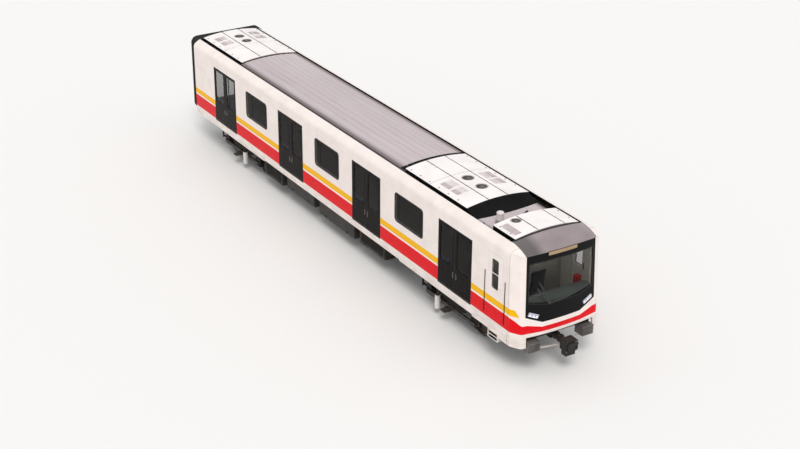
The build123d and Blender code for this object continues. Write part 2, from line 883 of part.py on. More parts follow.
with BuildPart() as gangway_bellows:
    for i in range(bellows_folds):
        with BuildSketch(Plane.YZ.offset(bellows_x[0] + (i + 0.5) * fold)) as crest:
            with Locations((0, bellows_mid_z)):
                RectangleRounded(2 * bellows_half, bellows_height, bellows_corner)
        for direction in (-1, 1):
            extrude(crest.sketch, amount=direction * fold / 2, taper=bellows_taper)
    with BuildSketch(Plane.YZ.offset(bellows_x[0])) as inside:
        with Locations((0, bellows_mid_z)):
            RectangleRounded(
                2 * (bellows_half - bellows_wall),
                bellows_height - 2 * bellows_wall,
                bellows_corner - bellows_wall,
            )
    extrude(inside.sketch, amount=bellows_x[1] - bellows_x[0], mode=Mode.SUBTRACT)
finish(gangway_bellows.part, "gangway_bellows")

# Rear drawbar with its end flange, level with the gangway's face
drawbar_radius = 80
drawbar_flange_radius = 135
with BuildPart() as rear_drawbar:
    with BuildSketch(Plane.YZ.offset(gangway_face_x)):
        with Locations((0, coupler_z)):
            Circle(drawbar_flange_radius)
    extrude(amount=40)
    with BuildSketch(Plane.YZ.offset(gangway_face_x)):
        with Locations((0, coupler_z)):
            Circle(drawbar_radius)
    extrude(amount=gangway_depth)
finish(rear_drawbar.part, "rear_drawbar")

# Nose: shell, mask, windscreen, fairing and lamps cut from one form by outlines seen from the front
mask_outline = [
    (-mask_chin_y, mask_chin_z),
    (-mask_side_y, mask_side_z),
    (-mask_top_y, shoulder_z),
    (mask_top_y, shoulder_z),
    (mask_side_y, mask_side_z),
    (mask_chin_y, mask_chin_z),
]
screen_outline = [
    (-screen_chin_y, screen_chin_z),
    (-screen_side_y, screen_side_z),
    (-screen_top_y, screen_top_z),
    (screen_top_y, screen_top_z),
    (screen_side_y, screen_side_z),
    (screen_chin_y, screen_chin_z),
]
lamp_slant = atan2(mask_side_z - mask_chin_z, mask_side_y - mask_chin_y)


def lamp_prisms():
    """Both lamp outlines, slanted like the mask's lower corners."""
    with BuildPart() as lamps:
        for side in (-1, 1):
            with BuildSketch(Plane.YZ.offset(nose_seam_x + 60)):
                with Locations((side * lamp_y, lamp_z)):
                    RectangleRounded(
                        lamp_width, lamp_height, 30, rotation=side * degrees(lamp_slant)
                    )
            extrude(amount=nose_length)
    return lamps.part


def skin(outer_inset, inner_inset, rear_x=nose_seam_x):
    """The layer of the nose's form between two insets."""
    with BuildPart() as layer:
        add(nose_volume(outer_inset, rear_x))
        add(nose_volume(inner_inset, rear_x - 1), mode=Mode.SUBTRACT)
    return layer.part


def fairing_prism():
    """The roof fairing's place: between the roof edges, above the mask and behind its top edge."""
    with BuildPart() as prism:
        with BuildSketch(Plane.XZ.offset(-roof_edge_y)):
            with BuildLine():
                Polyline(
                    (fairing_rear_x - 2, shoulder_z - 400),
                    (fairing_rear_x - 2, shoulder_z + 300),
                    (nose_tip_x, shoulder_z + 300),
                    (nose_tip_x, rail_z + 3406),
                    (nose_tip_x - 260, rail_z + 3330),
                    (nose_seam_x, shoulder_z - 400),
                    close=True,
                )
            make_face()
        extrude(amount=2 * roof_edge_y)
    return prism.part


with BuildPart() as roof_fairing:
    add(skin(0, nose_wall, fairing_rear_x))
    add(fairing_prism(), mode=Mode.INTERSECT)
finish(roof_fairing.part, "roof_fairing")
display_outline = [
    (-display_half, display_z[0]),
    (-display_half, display_z[1]),
    (display_half, display_z[1]),
    (display_half, display_z[0]),
]
with BuildPart() as display_cutter:
    add(skin(-5, display_recess))
    add(front_prism(display_outline, 20), mode=Mode.INTERSECT)
with BuildPart() as front_mask:
    add(skin(0, nose_wall))
    add(front_prism(mask_outline), mode=Mode.INTERSECT)
    add(roof_fairing.part, mode=Mode.SUBTRACT)
    add(display_cutter.part, mode=Mode.SUBTRACT)
    add(front_prism(screen_outline, screen_corner), mode=Mode.SUBTRACT)
    add(lamp_prisms(), mode=Mode.SUBTRACT)
finish(front_mask.part, "front_mask")
with BuildPart() as windscreen:
    add(skin(screen_recess, screen_recess + screen_thickness))
    add(front_prism(screen_outline, screen_corner), mode=Mode.INTERSECT)
finish(windscreen.part, "windscreen")


def lamp_cups(radius):
    """Three round prisms in each lamp, in a row along its slant."""
    with BuildPart() as cups:
        with BuildSketch(Plane.YZ.offset(nose_seam_x + 60)):
            for side in (-1, 1):
                for i in (-1, 0, 1):
                    y = lamp_y + i * lamp_cup_pitch * cos(lamp_slant)
                    with Locations((side * y, lamp_z + i * lamp_cup_pitch * sin(lamp_slant))):
                        Circle(radius)
        extrude(amount=nose_length)
    return cups.part


with BuildPart() as cup_hollows:
    add(skin(lamp_recess - 1, lamp_recess + lamp_cup_depth))
    add(lamp_cups(lamp_cup_radius), mode=Mode.INTERSECT)
    add(lamp_cups(lamp_bulb_radius), mode=Mode.SUBTRACT)
with BuildPart() as headlamps:
    add(skin(lamp_recess, lamp_recess + lamp_depth))
    add(lamp_prisms(), mode=Mode.INTERSECT)
    add(cup_hollows.part, mode=Mode.SUBTRACT)
finish(headlamps.part, "headlamps")
with BuildPart() as nose_shell:
    add(skin(0, nose_wall))
    add(front_prism(mask_outline), mode=Mode.SUBTRACT)
    add(roof_fairing.part, mode=Mode.SUBTRACT)
    block(
        (nose_seam_x + 180, nose_tip_x + 100),
        (-opening_half, opening_half),
        (cheek_z - 1, band_low_z),
        Mode.SUBTRACT,
    )
finish(nose_shell.part, "nose_shell")


# Wiper: two thin arms and a blade that follow the windscreen from one pivot boss
wiper_arms = [
    # y and z of one end, y and z of the other
    (wiper_pivot_y, wiper_pivot_z, -780, rail_z + 2440),
    (wiper_pivot_y + 30, wiper_pivot_z + 10, -730, rail_z + 2600),
    (wiper_pivot_y, wiper_pivot_z, 236, rail_z + 1990),
]
with BuildPart() as wiper_form:
    for y_0, z_0, y_1, z_1 in wiper_arms:
        length = hypot(y_1 - y_0, z_1 - z_0)
        with BuildSketch(Plane.YZ.offset(nose_seam_x + 60)):
            with Locations(((y_0 + y_1) / 2, (z_0 + z_1) / 2)):
                SlotOverall(length, wiper_arm_width, rotation=degrees(atan2(z_1 - z_0, y_1 - y_0)))
        extrude(amount=nose_length)
with BuildPart() as wiper:
    add(skin(-wiper_stand - wiper_thickness, -wiper_stand))
    add(wiper_form.part, mode=Mode.INTERSECT)
    with BuildPart(mode=Mode.PRIVATE) as boss_form:
        with BuildSketch(Plane.YZ.offset(nose_seam_x + 60)):
            with Locations((wiper_pivot_y, wiper_pivot_z)):
                Circle(32)
        extrude(amount=nose_length)
        add(skin(-wiper_stand - wiper_thickness, 0), mode=Mode.INTERSECT)
    add(boss_form.part)
finish(wiper.part, "wiper")

# Front apron: anticlimber boxes joined by the curved deflector lip
apron_box_y = (opening_half - 390, opening_half - 30)
apron_box_x = (nose_seam_x + 190, nose_tip_x + 34)
apron_box_low_z = rail_z + 670
apron_groove_count = 4
apron_groove_width = 22
apron_groove_depth = 26
apron_groove_pitch = (front_beam_z - apron_box_low_z) / (apron_groove_count + 1)
lip_x = nose_tip_x + 10
lip_radius = 1640
lip_thickness = 36
lip_z = (rail_z + 640, rail_z + 690)
with BuildPart() as front_apron:
    with BuildSketch(Plane.XY.offset(lip_z[0])):
        with Locations((lip_x - lip_radius, 0)):
            Circle(lip_radius)
            Circle(lip_radius - lip_thickness, mode=Mode.SUBTRACT)
        with Locations((lip_x - 2 * lip_radius - 330, 0)):
            Rectangle(4 * lip_radius, 4 * lip_radius, mode=Mode.SUBTRACT)
    extrude(amount=lip_z[1] - lip_z[0])
    for y in both_sides(apron_box_y):
        block(apron_box_x, y, (apron_box_low_z, front_beam_z))
        for i in range(apron_groove_count):
            groove_z = apron_box_low_z + (i + 1) * apron_groove_pitch
            block(
                (apron_box_x[1] - apron_groove_depth, apron_box_x[1] + 1),
                (y[0] - 1, y[1] + 1),
                (groove_z - apron_groove_width / 2, groove_z + apron_groove_width / 2),
                Mode.SUBTRACT,
            )
finish(front_apron.part, "front_apron")

# Cab inside: bulkhead with its door, driver's desk and driver's seat
bulkhead_x = (cab_door_rear_x - 450, cab_door_rear_x - 410)
bulkhead_door_half = 340
bulkhead_door_top = rail_z + 3080
door_gap = 6
bulkhead_hinge = (bulkhead_x[0] + hinge_pin_radius, bulkhead_door_half - door_gap - hinge_pin_radius)
with BuildPart() as cab_bulkhead:
    with BuildSketch(Plane.YZ.offset(bulkhead_x[0])):
        with BuildLine():
            Polyline(
                (-inner_half, floor_z),
                (-inner_half, ceiling_z - cove_height),
                (-roof_edge_y, ceiling_z),
                (roof_edge_y, ceiling_z),
                (inner_half, ceiling_z - cove_height),
                (inner_half, floor_z),
                close=True,
            )
        make_face()
    extrude(amount=bulkhead_x[1] - bulkhead_x[0])
    block(
        (bulkhead_x[0] - 1, bulkhead_x[1] + 1),
        (-bulkhead_door_half, bulkhead_door_half),
        (floor_z, bulkhead_door_top),
        Mode.SUBTRACT,
    )
    with Locations((*bulkhead_hinge, bulkhead_door_top)):
        Cylinder(
            hinge_pin_radius + clearance,
            2 * (hinge_pin_reach + clearance),
            mode=Mode.SUBTRACT,
        )
finish(cab_bulkhead.part, "cab_bulkhead")
with BuildPart() as bulkhead_door:
    block(
        bulkhead_x,
        (-bulkhead_door_half + door_gap, bulkhead_door_half - door_gap),
        (floor_z + door_gap, bulkhead_door_top - door_gap),
    )
    with Locations((*bulkhead_hinge, floor_z + clearance)):
        Cylinder(
            hinge_pin_radius,
            bulkhead_door_top + hinge_pin_reach - floor_z - clearance,
            align=(Align.CENTER, Align.CENTER, Align.MIN),
        )
finish(bulkhead_door.part, "bulkhead_door")

desk_x = (nose_seam_x - 180, nose_tip_x - 230)
desk_half = inner_half - 350
desk_top_z = floor_z + 730
desk_panel_z = floor_z + 960
screen_pitch = 340
screen_width = 290
screen_height = 150
screen_sink = 8
lever_y = 330
lever_radius = 11
lever_height = 120
lever_knob_radius = 24
with BuildPart() as driver_desk:
    with BuildSketch(Plane.XZ.offset(-desk_half)):
        with BuildLine():
            Polyline(
                (desk_x[0] + 230, floor_z),
                (desk_x[0] + 180, desk_top_z - 60),
                (desk_x[0], desk_top_z - 60),
                (desk_x[0], desk_top_z),
                (desk_x[0] + 210, desk_top_z + 50),
                (desk_x[0] + 320, desk_panel_z),
                (desk_x[1], desk_panel_z),
                (desk_x[1], floor_z),
                close=True,
            )
        make_face()
    extrude(amount=2 * desk_half)
    panel_face = Plane(
        origin=(desk_x[0] + 265, 0, (desk_top_z + 50 + desk_panel_z) / 2),
        x_dir=(0, 1, 0),
        z_dir=(desk_top_z + 50 - desk_panel_z, 0, 110),
    )
    with BuildSketch(panel_face) as screens:
        for y in (-screen_pitch, 0, screen_pitch):
            with Locations((y, 0)):
                RectangleRounded(screen_width, screen_height, 12)
    extrude(screens.sketch, amount=-screen_sink, mode=Mode.SUBTRACT)
    for y in (-lever_y, lever_y):
        with Locations((desk_x[0] + 90, y, desk_top_z)):
            Cylinder(lever_radius, lever_height, align=(Align.CENTER, Align.CENTER, Align.MIN))
        with Locations((desk_x[0] + 90, y, desk_top_z + lever_height)):
            Sphere(lever_knob_radius)
finish(driver_desk.part, "driver_desk")

seat_x = (desk_x[0] - 560, desk_x[0] - 120)
with BuildPart() as driver_seat:
    with Locations(((seat_x[0] + seat_x[1]) / 2, 0, floor_z)):
        Cylinder(190, 30, align=(Align.CENTER, Align.CENTER, Align.MIN))
        Cylinder(60, 400, align=(Align.CENTER, Align.CENTER, Align.MIN))
    with BuildSketch(Plane.XZ.offset(-240)):
        with BuildLine():
            Polyline(
                (seat_x[0], floor_z + 380),
                (seat_x[0] - 90, floor_z + 1180),
                (seat_x[0] + 10, floor_z + 1190),
                (seat_x[0] + 110, floor_z + 490),
                (seat_x[1], floor_z + 490),
                (seat_x[1], floor_z + 380),
                close=True,
            )
        make_face()
    extrude(amount=480)
finish(driver_seat.part, "driver_seat")

# Passenger seats along both walls, and grab poles at their ends
bench_margin = 130
bench_spans = [(body_rear_x + end_wall_thickness + 20, doorway_xs[0] - doorway_width / 2 - bench_margin)]
for rear_x, front_x in zip(doorway_xs, doorway_xs[1:]):
    margin = doorway_width / 2 + bench_margin
    bench_spans.append((rear_x + margin, front_x - margin))
bench_depth = 450
seat_pitch = 450
seat_gap = 12
seat_shell_inset = 46
seat_gap_low = 422
with BuildPart() as seats:
    for rear_x, front_x in bench_spans:
        with BuildSketch(Plane.YZ.offset(rear_x)):
            with BuildLine():
                Polyline(
                    (-inner_half, floor_z + 170),
                    (-inner_half, floor_z + 900),
                    (-inner_half + 60, floor_z + 900),
                    (-inner_half + 110, floor_z + 450),
                    (-inner_half + bench_depth, floor_z + 440),
                    (-inner_half + bench_depth, floor_z + 380),
                    (-inner_half + 130, floor_z + 170),
                    close=True,
                )
            make_face()
        extrude(amount=front_x - rear_x)
        seat_count = max(1, round((front_x - rear_x) / seat_pitch))
        for i in range(1, seat_count):
            gap_x = rear_x + i * (front_x - rear_x) / seat_count
            block(
                (gap_x - seat_gap / 2, gap_x + seat_gap / 2),
                (-inner_half + seat_shell_inset, -inner_half + bench_depth + 1),
                (floor_z + seat_gap_low, floor_z + 901),
                Mode.SUBTRACT,
            )
    mirror(about=Plane.XZ)
finish(seats.part, "seats")
pole_radius = 17
pole_flange_radius = 34
pole_y = inner_half - bench_depth + 10
rail_height = floor_z + 1880
with BuildPart() as grab_poles:
    for rear_x, front_x in bench_spans:
        ends = (rear_x - pole_radius - 12, front_x + pole_radius + 12)
        if rear_x < doorway_xs[0]:
            ends = (rear_x + pole_radius, front_x + pole_radius + 12)
        for x in ends:
            with Locations((x, -pole_y + 40, floor_z)):
                Cylinder(pole_radius, ceiling_z - floor_z, align=(Align.CENTER, Align.CENTER, Align.MIN))
                Cylinder(pole_flange_radius, 8, align=(Align.CENTER, Align.CENTER, Align.MIN))
            with Locations((x, -pole_y + 40, ceiling_z)):
                Cylinder(pole_flange_radius, 8, align=(Align.CENTER, Align.CENTER, Align.MAX))
        with Locations(((ends[0] + ends[1]) / 2, -pole_y + 40, rail_height)):
            Cylinder(pole_radius - 2, ends[1] - ends[0], rotation=(0, 90, 0))
    mirror(about=Plane.XZ)
finish(grab_poles.part, "grab_poles")

# Equipment boxes and air tanks hung below the sills between the bogies
bay_x = (bogie_xs["rear"] + 2000, bogie_xs["front"] - 2600)
box_gap = 300
lid_margin = 35
lid_thickness = 12
fin_share = 0.21
fin_pitch = 60
fin_thickness = 14
fin_depth = 45
box_y = (centre_sill_y[1] + 20, half_width - 130)
box_rows = [
    # side, share of the bay's length and height of each box in turn
    (-1, [(0.17, 560), (0.25, 480), (0.30, 540), (0.20, 500)]),
    (1, [(0.20, 520), (0.26, 500), (0.24, 470), (0.30, 540)]),
]
with BuildPart() as equipment_boxes:
    for side, boxes in box_rows:
        rear_x = bay_x[0]
        for share, height in boxes:
            front_x = rear_x + share * (bay_x[1] - bay_x[0] - 3 * box_gap)
            block((rear_x, front_x), sorted((side * box_y[0], side * box_y[1])), (sill_z - height, sill_z))
            lid_plane = Plane.XZ.offset(-side * box_y[1])
            with BuildSketch(lid_plane) as lid:
                with Locations(((rear_x + front_x) / 2, sill_z - height / 2)):
                    RectangleRounded(front_x - rear_x - 2 * lid_margin, height - 2 * lid_margin, 30)
            extrude(lid.sketch, amount=-side * lid_thickness)
            if share < fin_share:
                fin_count = int((front_x - rear_x - 6 * lid_margin) / fin_pitch)
                with BuildSketch(lid_plane) as fins:
                    with Locations(((rear_x + front_x) / 2, sill_z - height / 2)):
                        with GridLocations(fin_pitch, 0, fin_count, 1):
                            Rectangle(fin_thickness, height - 6 * lid_margin)
                extrude(fins.sketch, amount=-side * fin_depth)
            rear_x = front_x + box_gap
finish(equipment_boxes.part, "equipment_boxes")
tank_radius = 165
tank_length = 1450
tank_inset = 200
tank_rows = [
    # from x, to x
    (bay_x[0] + tank_inset, bay_x[0] + tank_inset + tank_length),
    (bay_x[1] - tank_inset - tank_length, bay_x[1] - tank_inset),
]
with BuildPart() as air_tanks:
    for rear_x, front_x in tank_rows:
        with BuildSketch(Plane.YZ.offset(rear_x)):
            with Locations((0, sill_z - tank_radius - 60)):
                Circle(tank_radius)
        extrude(amount=front_x - rear_x)
        for x in (rear_x + 250, front_x - 290):
            block((x, x + 40), (-centre_sill_y[1], centre_sill_y[1]), (sill_z - 70, sill_z))
            block((x, x + 40), (-60, 60), (sill_z - 120, sill_z - 60))
finish(air_tanks.part, "air_tanks")


def bogie_frame(pivot_x):
    """H-shaped frame: cranked side beams, two transoms, a king pin socket and brake units."""
    dip = side_beam_top_z - side_beam_dip_z
    with BuildPart() as frame:
        for y in both_sides(side_beam_y):
            with BuildSketch(Plane.XZ.offset(-y[1])) as beam:
                with BuildLine():
                    top = FilletPolyline(
                        (pivot_x - side_beam_half_length, side_beam_top_z),
                        (pivot_x - 800, side_beam_top_z),
                        (pivot_x - 800 + dip, side_beam_dip_z),
                        (pivot_x + 800 - dip, side_beam_dip_z),
                        (pivot_x + 800, side_beam_top_z),
                        (pivot_x + side_beam_half_length, side_beam_top_z),
                        radius=120,
                    )
                    low = FilletPolyline(
                        (pivot_x + side_beam_half_length, side_beam_top_z - side_beam_depth),
                        (pivot_x + 760, side_beam_top_z - side_beam_depth),
                        (pivot_x + 760 - dip, side_beam_dip_z - side_beam_depth),
                        (pivot_x - 760 + dip, side_beam_dip_z - side_beam_depth),
                        (pivot_x - 760, side_beam_top_z - side_beam_depth),
                        (pivot_x - side_beam_half_length, side_beam_top_z - side_beam_depth),
                        radius=120,
                    )
                    Line(top @ 1, low @ 0)
                    Line(low @ 1, top @ 0)
                make_face()
            extrude(beam.sketch, amount=y[1] - y[0])
        for x in both_sides(transom_x):
            block((pivot_x + x[0], pivot_x + x[1]), (-side_beam_y[0] - 20, side_beam_y[0] + 20), transom_z)
        block((pivot_x - transom_x[1], pivot_x + transom_x[1]), (-200, 200), (transom_z[0], transom_z[1]))
        with Locations((pivot_x, 0, transom_z[0])):
            Cylinder(
                king_pin_radius + clearance,
                2 * (transom_z[1] - transom_z[0]) + 10,
                mode=Mode.SUBTRACT,
            )
        for x in both_sides((transom_x[1], wheelbase / 2 - tread_radius - 20)):
            for y in both_sides((728, 812)):
                block((pivot_x + x[0], pivot_x + x[1]), y, (rail_z + 400, rail_z + 600))
    return frame.part


def suspension(pivot_x):
    """Axle boxes under their rubber springs, and the two air springs on the side beams."""
    with BuildPart() as springs:
        for x in (pivot_x - wheelbase / 2, pivot_x + wheelbase / 2):
            for y in both_sides(axle_box_y):
                block((x - 140, x + 140), y, (axle_z - 130, axle_z + 120))
                layer = (side_beam_top_z - side_beam_depth - axle_z - 120) / spring_layers
                for i in range(spring_layers):
                    half = spring_half - (i % 2) * spring_waist
                    low_z = axle_z + 120 + i * layer
                    block((x - half, x + half), y, (low_z, low_z + layer))
            with Locations((x, 0, axle_z)):
                Cylinder(
                    journal_radius + clearance,
                    2 * (journal_end + clearance),
                    rotation=(90, 0, 0),
                    mode=Mode.SUBTRACT,
                )
        for y in both_sides(side_beam_y):
            middle = (pivot_x, (y[0] + y[1]) / 2)
            with Locations((*middle, side_beam_dip_z)):
                Cylinder(70, 170, align=(Align.CENTER, Align.CENTER, Align.MIN))
            low_z = side_beam_dip_z + 160
            top_z = sill_z - clearance
            with BuildSketch(Plane.XZ.offset(-middle[1])) as half_section:
                bulge_top = top_z - air_spring_plate
                with BuildLine():
                    Polyline(
                        (pivot_x, low_z),
                        (pivot_x + air_spring_radius - 50, low_z),
                        (pivot_x + air_spring_radius - 50, low_z + air_spring_plate),
                    )
                    ThreePointArc(
                        (pivot_x + air_spring_radius - 50, low_z + air_spring_plate),
                        (pivot_x + air_spring_radius, (low_z + top_z) / 2),
                        (pivot_x + air_spring_radius - 50, bulge_top),
                    )
                    Polyline(
                        (pivot_x + air_spring_radius - 50, bulge_top),
                        (pivot_x + air_spring_radius - 15, bulge_top),
                        (pivot_x + air_spring_radius - 15, top_z),
                        (pivot_x, top_z),
                        (pivot_x, low_z),
                    )
                make_face()
            revolve(half_section.sketch, axis=Axis((pivot_x, middle[1], 0), (0, 0, 1)))
    return springs.part


def traction_motors(pivot_x):
    """Two motors on the transoms, each with a gear case round its axle."""
    with BuildPart() as motors:
        for end in (-1, 1):
            motor_x = pivot_x + end * 600
            axle_x = pivot_x + end * wheelbase / 2
            with Locations((motor_x, 0, axle_z + 10)):
                Cylinder(motor_radius, motor_length, rotation=(90, 0, 0))
            for i in range(-2, 3):
                with Locations((motor_x, i * motor_rib_pitch, axle_z + 10)):
                    Cylinder(motor_radius + motor_rib_height, motor_rib_width, rotation=(90, 0, 0))
            bracket = sorted((pivot_x + end * transom_x[1], motor_x))
            block(bracket, (-150, 150), (transom_z[0], transom_z[0] + 120))
            with Locations((axle_x, 440, axle_z)):
                Cylinder(230, 160, rotation=(90, 0, 0))
            housing = sorted((motor_x, axle_x))
            block(housing, (360, 520), (axle_z - 150, axle_z + 150))
            neck = sorted((motor_x - end * 100, motor_x + end * 150))
            block(neck, (300, 380), (axle_z - 120, axle_z + 120))
            with Locations((axle_x, 0, axle_z)):
                Cylinder(axle_radius + clearance, 1200, rotation=(90, 0, 0), mode=Mode.SUBTRACT)
    return motors.part


def collector_gear(pivot_x, inner_end):
    """On each side a beam between the axle boxes, with a shoe arm and an upright insulator."""
    beam_z = (axle_z - 60, axle_z + 40)
    beam_y = (axle_box_y[1], axle_box_y[1] + 55)
    with BuildPart() as gear:
        for y in both_sides(beam_y):
            block((pivot_x - wheelbase / 2 - 90, pivot_x + wheelbase / 2 + 90), y, beam_z)
        for side in (-1, 1):
            arm = sorted((side * beam_y[1], side * (beam_y[1] + 130)))
            block((pivot_x - 110, pivot_x + 110), arm, (axle_z - 90, axle_z - 20))
            shoe = sorted((side * (beam_y[1] + 100), side * shoe_reach))
            with BuildSketch(Plane.XZ.offset(-shoe[1])) as shoe_side:
                with BuildLine():
                    Polyline(
                        (pivot_x - shoe_half, axle_z - 60),
                        (pivot_x - shoe_half, axle_z - 74),
                        (pivot_x - 60, axle_z - 90),
                        (pivot_x + 60, axle_z - 90),
                        (pivot_x + shoe_half, axle_z - 74),
                        (pivot_x + shoe_half, axle_z - 60),
                        close=True,
                    )
                make_face()
            extrude(shoe_side.sketch, amount=shoe[1] - shoe[0])
            post_x = pivot_x + inner_end * 480
            post_y = side * (beam_y[1] + 75)
            with Locations((post_x, post_y, axle_z - 230)):
                Cylinder(post_radius, 400, align=(Align.CENTER, Align.CENTER, Align.MIN))
            for i in range(1, 4):
                with Locations((post_x, post_y, axle_z - 230 + i * 100)):
                    Cylinder(post_radius + 8, 24)
            block((post_x - 50, post_x + 50), sorted((side * beam_y[1], post_y)), beam_z)
    return gear.part


for end, inner_end in (("front", -1), ("rear", 1)):
    pivot_x = bogie_xs[end]
    finish(bogie_frame(pivot_x), f"bogie_frame_{end}")
    finish(suspension(pivot_x), f"suspension_{end}")
    finish(traction_motors(pivot_x), f"traction_motors_{end}")
    finish(collector_gear(pivot_x, inner_end), f"collector_gear_{end}")

# Wheelsets: an axle with its two wheels, turned as one profile
wheel_inner = back_to_back / 2
wheel_profile = [
    # distance from the middle along the axle, radius
    (0, axle_radius),
    (wheel_inner - 20, axle_radius),
    (wheel_inner - 20, 118),
    (wheel_inner + 44, 118),
    (wheel_inner + 44, 160),
    (wheel_inner + 66, 300),
    (wheel_inner + 50, 350),
    (wheel_inner, 365),
    (wheel_inner, flange_radius - 12),
    (wheel_inner + 12, flange_radius),
    (wheel_inner + 22, flange_radius),
    (wheel_inner + 34, tread_radius),
    (wheel_inner + 135, tread_radius - 2),
    (wheel_inner + 135, 365),
    (wheel_inner + 104, 350),
    (wheel_inner + 98, 300),
    (wheel_inner + 84, 160),
    (wheel_inner + 96, 118),
    (wheel_inner + 150, 118),
    (wheel_inner + 150, axle_radius),
    (journal_start, axle_radius),
    (journal_start, journal_radius),
    (journal_end, journal_radius),
    (journal_end, 0),
    (0, 0),
]


def wheelset(axle_x):
    """One axle with both wheels."""
    with BuildPart() as turned:
        with BuildSketch(Plane.YZ.offset(axle_x)):
            with BuildLine():
                Polyline(*[(y, axle_z + r) for y, r in wheel_profile], close=True)
            make_face()
        revolve(axis=Axis((axle_x, 0, axle_z), (0, 1, 0)))
        mirror(about=Plane.XZ)
    return turned.part


for i, end in enumerate(("rear", "front")):
    for j, offset_x in enumerate((-wheelbase / 2, wheelbase / 2)):
        finish(wheelset(bogie_xs[end] + offset_x), f"wheelset_{2 * i + j + 1}")

# Front coupler: an eye on the anchor's pin, a shank and a square head
with BuildPart() as front_coupler:
    with Locations((coupler_pivot_x, 0, coupler_z)):
        Cylinder(95, eye_top_z - eye_low_z - 2 * clearance)
    with BuildSketch(Plane.YZ.offset(coupler_pivot_x + 60)):
        with Locations((0, coupler_z)):
            Circle(60)
    extrude(amount=80)
    with BuildSketch(Plane.YZ.offset(coupler_pivot_x + 110)):
        with Locations((0, coupler_z)):
            Circle(coupler_shank_radius)
    extrude(amount=overall_length / 2 - coupler_head_length - coupler_pivot_x - 110)
    with BuildSketch(Plane.YZ.offset(overall_length / 2 - coupler_head_length)) as head:
        with Locations((0, coupler_z - 5)):
            RectangleRounded(380, 310, 45)
    extrude(head.sketch, amount=coupler_head_length - 60)
    for x in (coupler_pivot_x + 170, coupler_pivot_x + 330):
        with BuildSketch(Plane.YZ.offset(x)) as collar:
            with Locations((0, coupler_z)):
                Circle(coupler_shank_radius + 26)
        extrude(collar.sketch, amount=30)
    with BuildSketch(Plane.YZ.offset(overall_length / 2 - 60)) as guide:
        with Locations((130, coupler_z + 60)):
            Circle(42)
        with Locations((130, coupler_z - 70)):
            Circle(30)
    extrude(guide.sketch, amount=45)
    block((overall_length / 2 - 60, overall_length / 2), (-160, 60), (coupler_z - 110, coupler_z + 110))
    block(
        (overall_length / 2 - 300, overall_length / 2 - 110),
        (-150, 150),
        (coupler_z - 300, coupler_z - 150),
    )
    with Locations((coupler_pivot_x, 0, coupler_z)):
        Cylinder(coupler_pin_radius + clearance, 400, mode=Mode.SUBTRACT)
finish(front_coupler.part, "front_coupler")
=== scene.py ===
"""Looks of the metro car: finishes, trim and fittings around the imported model, with studio and camera.

Metres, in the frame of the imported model: X forward to the cab, Y to the left, Z up from the floor.
"""

from __future__ import annotations

import json
import logging
from dataclasses import dataclass
from enum import Enum
from typing import Sequence

import bmesh
import bpy
import numpy as np
from mathutils import Matrix

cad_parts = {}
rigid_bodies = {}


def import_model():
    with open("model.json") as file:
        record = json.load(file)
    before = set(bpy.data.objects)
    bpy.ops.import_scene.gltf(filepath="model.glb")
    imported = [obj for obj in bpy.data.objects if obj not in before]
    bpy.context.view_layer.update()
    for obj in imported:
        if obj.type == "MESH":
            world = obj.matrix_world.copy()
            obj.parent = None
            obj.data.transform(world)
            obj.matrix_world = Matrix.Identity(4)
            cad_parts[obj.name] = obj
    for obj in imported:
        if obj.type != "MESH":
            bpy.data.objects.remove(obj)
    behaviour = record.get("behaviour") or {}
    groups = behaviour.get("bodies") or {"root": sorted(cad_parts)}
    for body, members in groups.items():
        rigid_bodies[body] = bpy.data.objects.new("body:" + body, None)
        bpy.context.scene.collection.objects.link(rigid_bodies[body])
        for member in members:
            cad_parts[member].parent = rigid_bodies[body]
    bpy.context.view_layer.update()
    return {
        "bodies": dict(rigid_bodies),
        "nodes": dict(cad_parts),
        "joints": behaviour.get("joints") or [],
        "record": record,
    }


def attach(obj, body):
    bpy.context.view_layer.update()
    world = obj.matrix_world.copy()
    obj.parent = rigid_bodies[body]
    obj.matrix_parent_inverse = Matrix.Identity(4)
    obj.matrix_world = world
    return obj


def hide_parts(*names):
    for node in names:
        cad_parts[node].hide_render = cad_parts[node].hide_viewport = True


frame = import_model()
LOG = logging.getLogger("metro_car")
RIGHT_AND_LEFT = (-1.0, 1.0)
Array = np.ndarray
Row = Sequence[float]
Pair = tuple[float, float]
Triple = tuple[float, float, float]
Profile = Sequence[Pair]
Socket = bpy.types.NodeSocket


def linear(colour: Triple) -> tuple[float, float, float, float]:
    """Turn a display colour into the renderer's linear one, with an alpha of 1.

    Each channel c becomes c / 12.92 below 0.04045, and ((c + 0.055) / 1.055) to the power 2.4 above.

    Args:
        colour: The display colour.

    Returns:
        The renderer's colour.
    """
    c = np.asarray(colour, float)
    flat = np.where(c <= 0.04045, c / 12.92, ((c + 0.055) / 1.055) ** 2.4)
    return (*(float(v) for v in flat), 1.0)


class Axis(Enum):
    """A direction of the frame, by the column that holds it."""

    X = 0
    Y = 1
    Z = 2


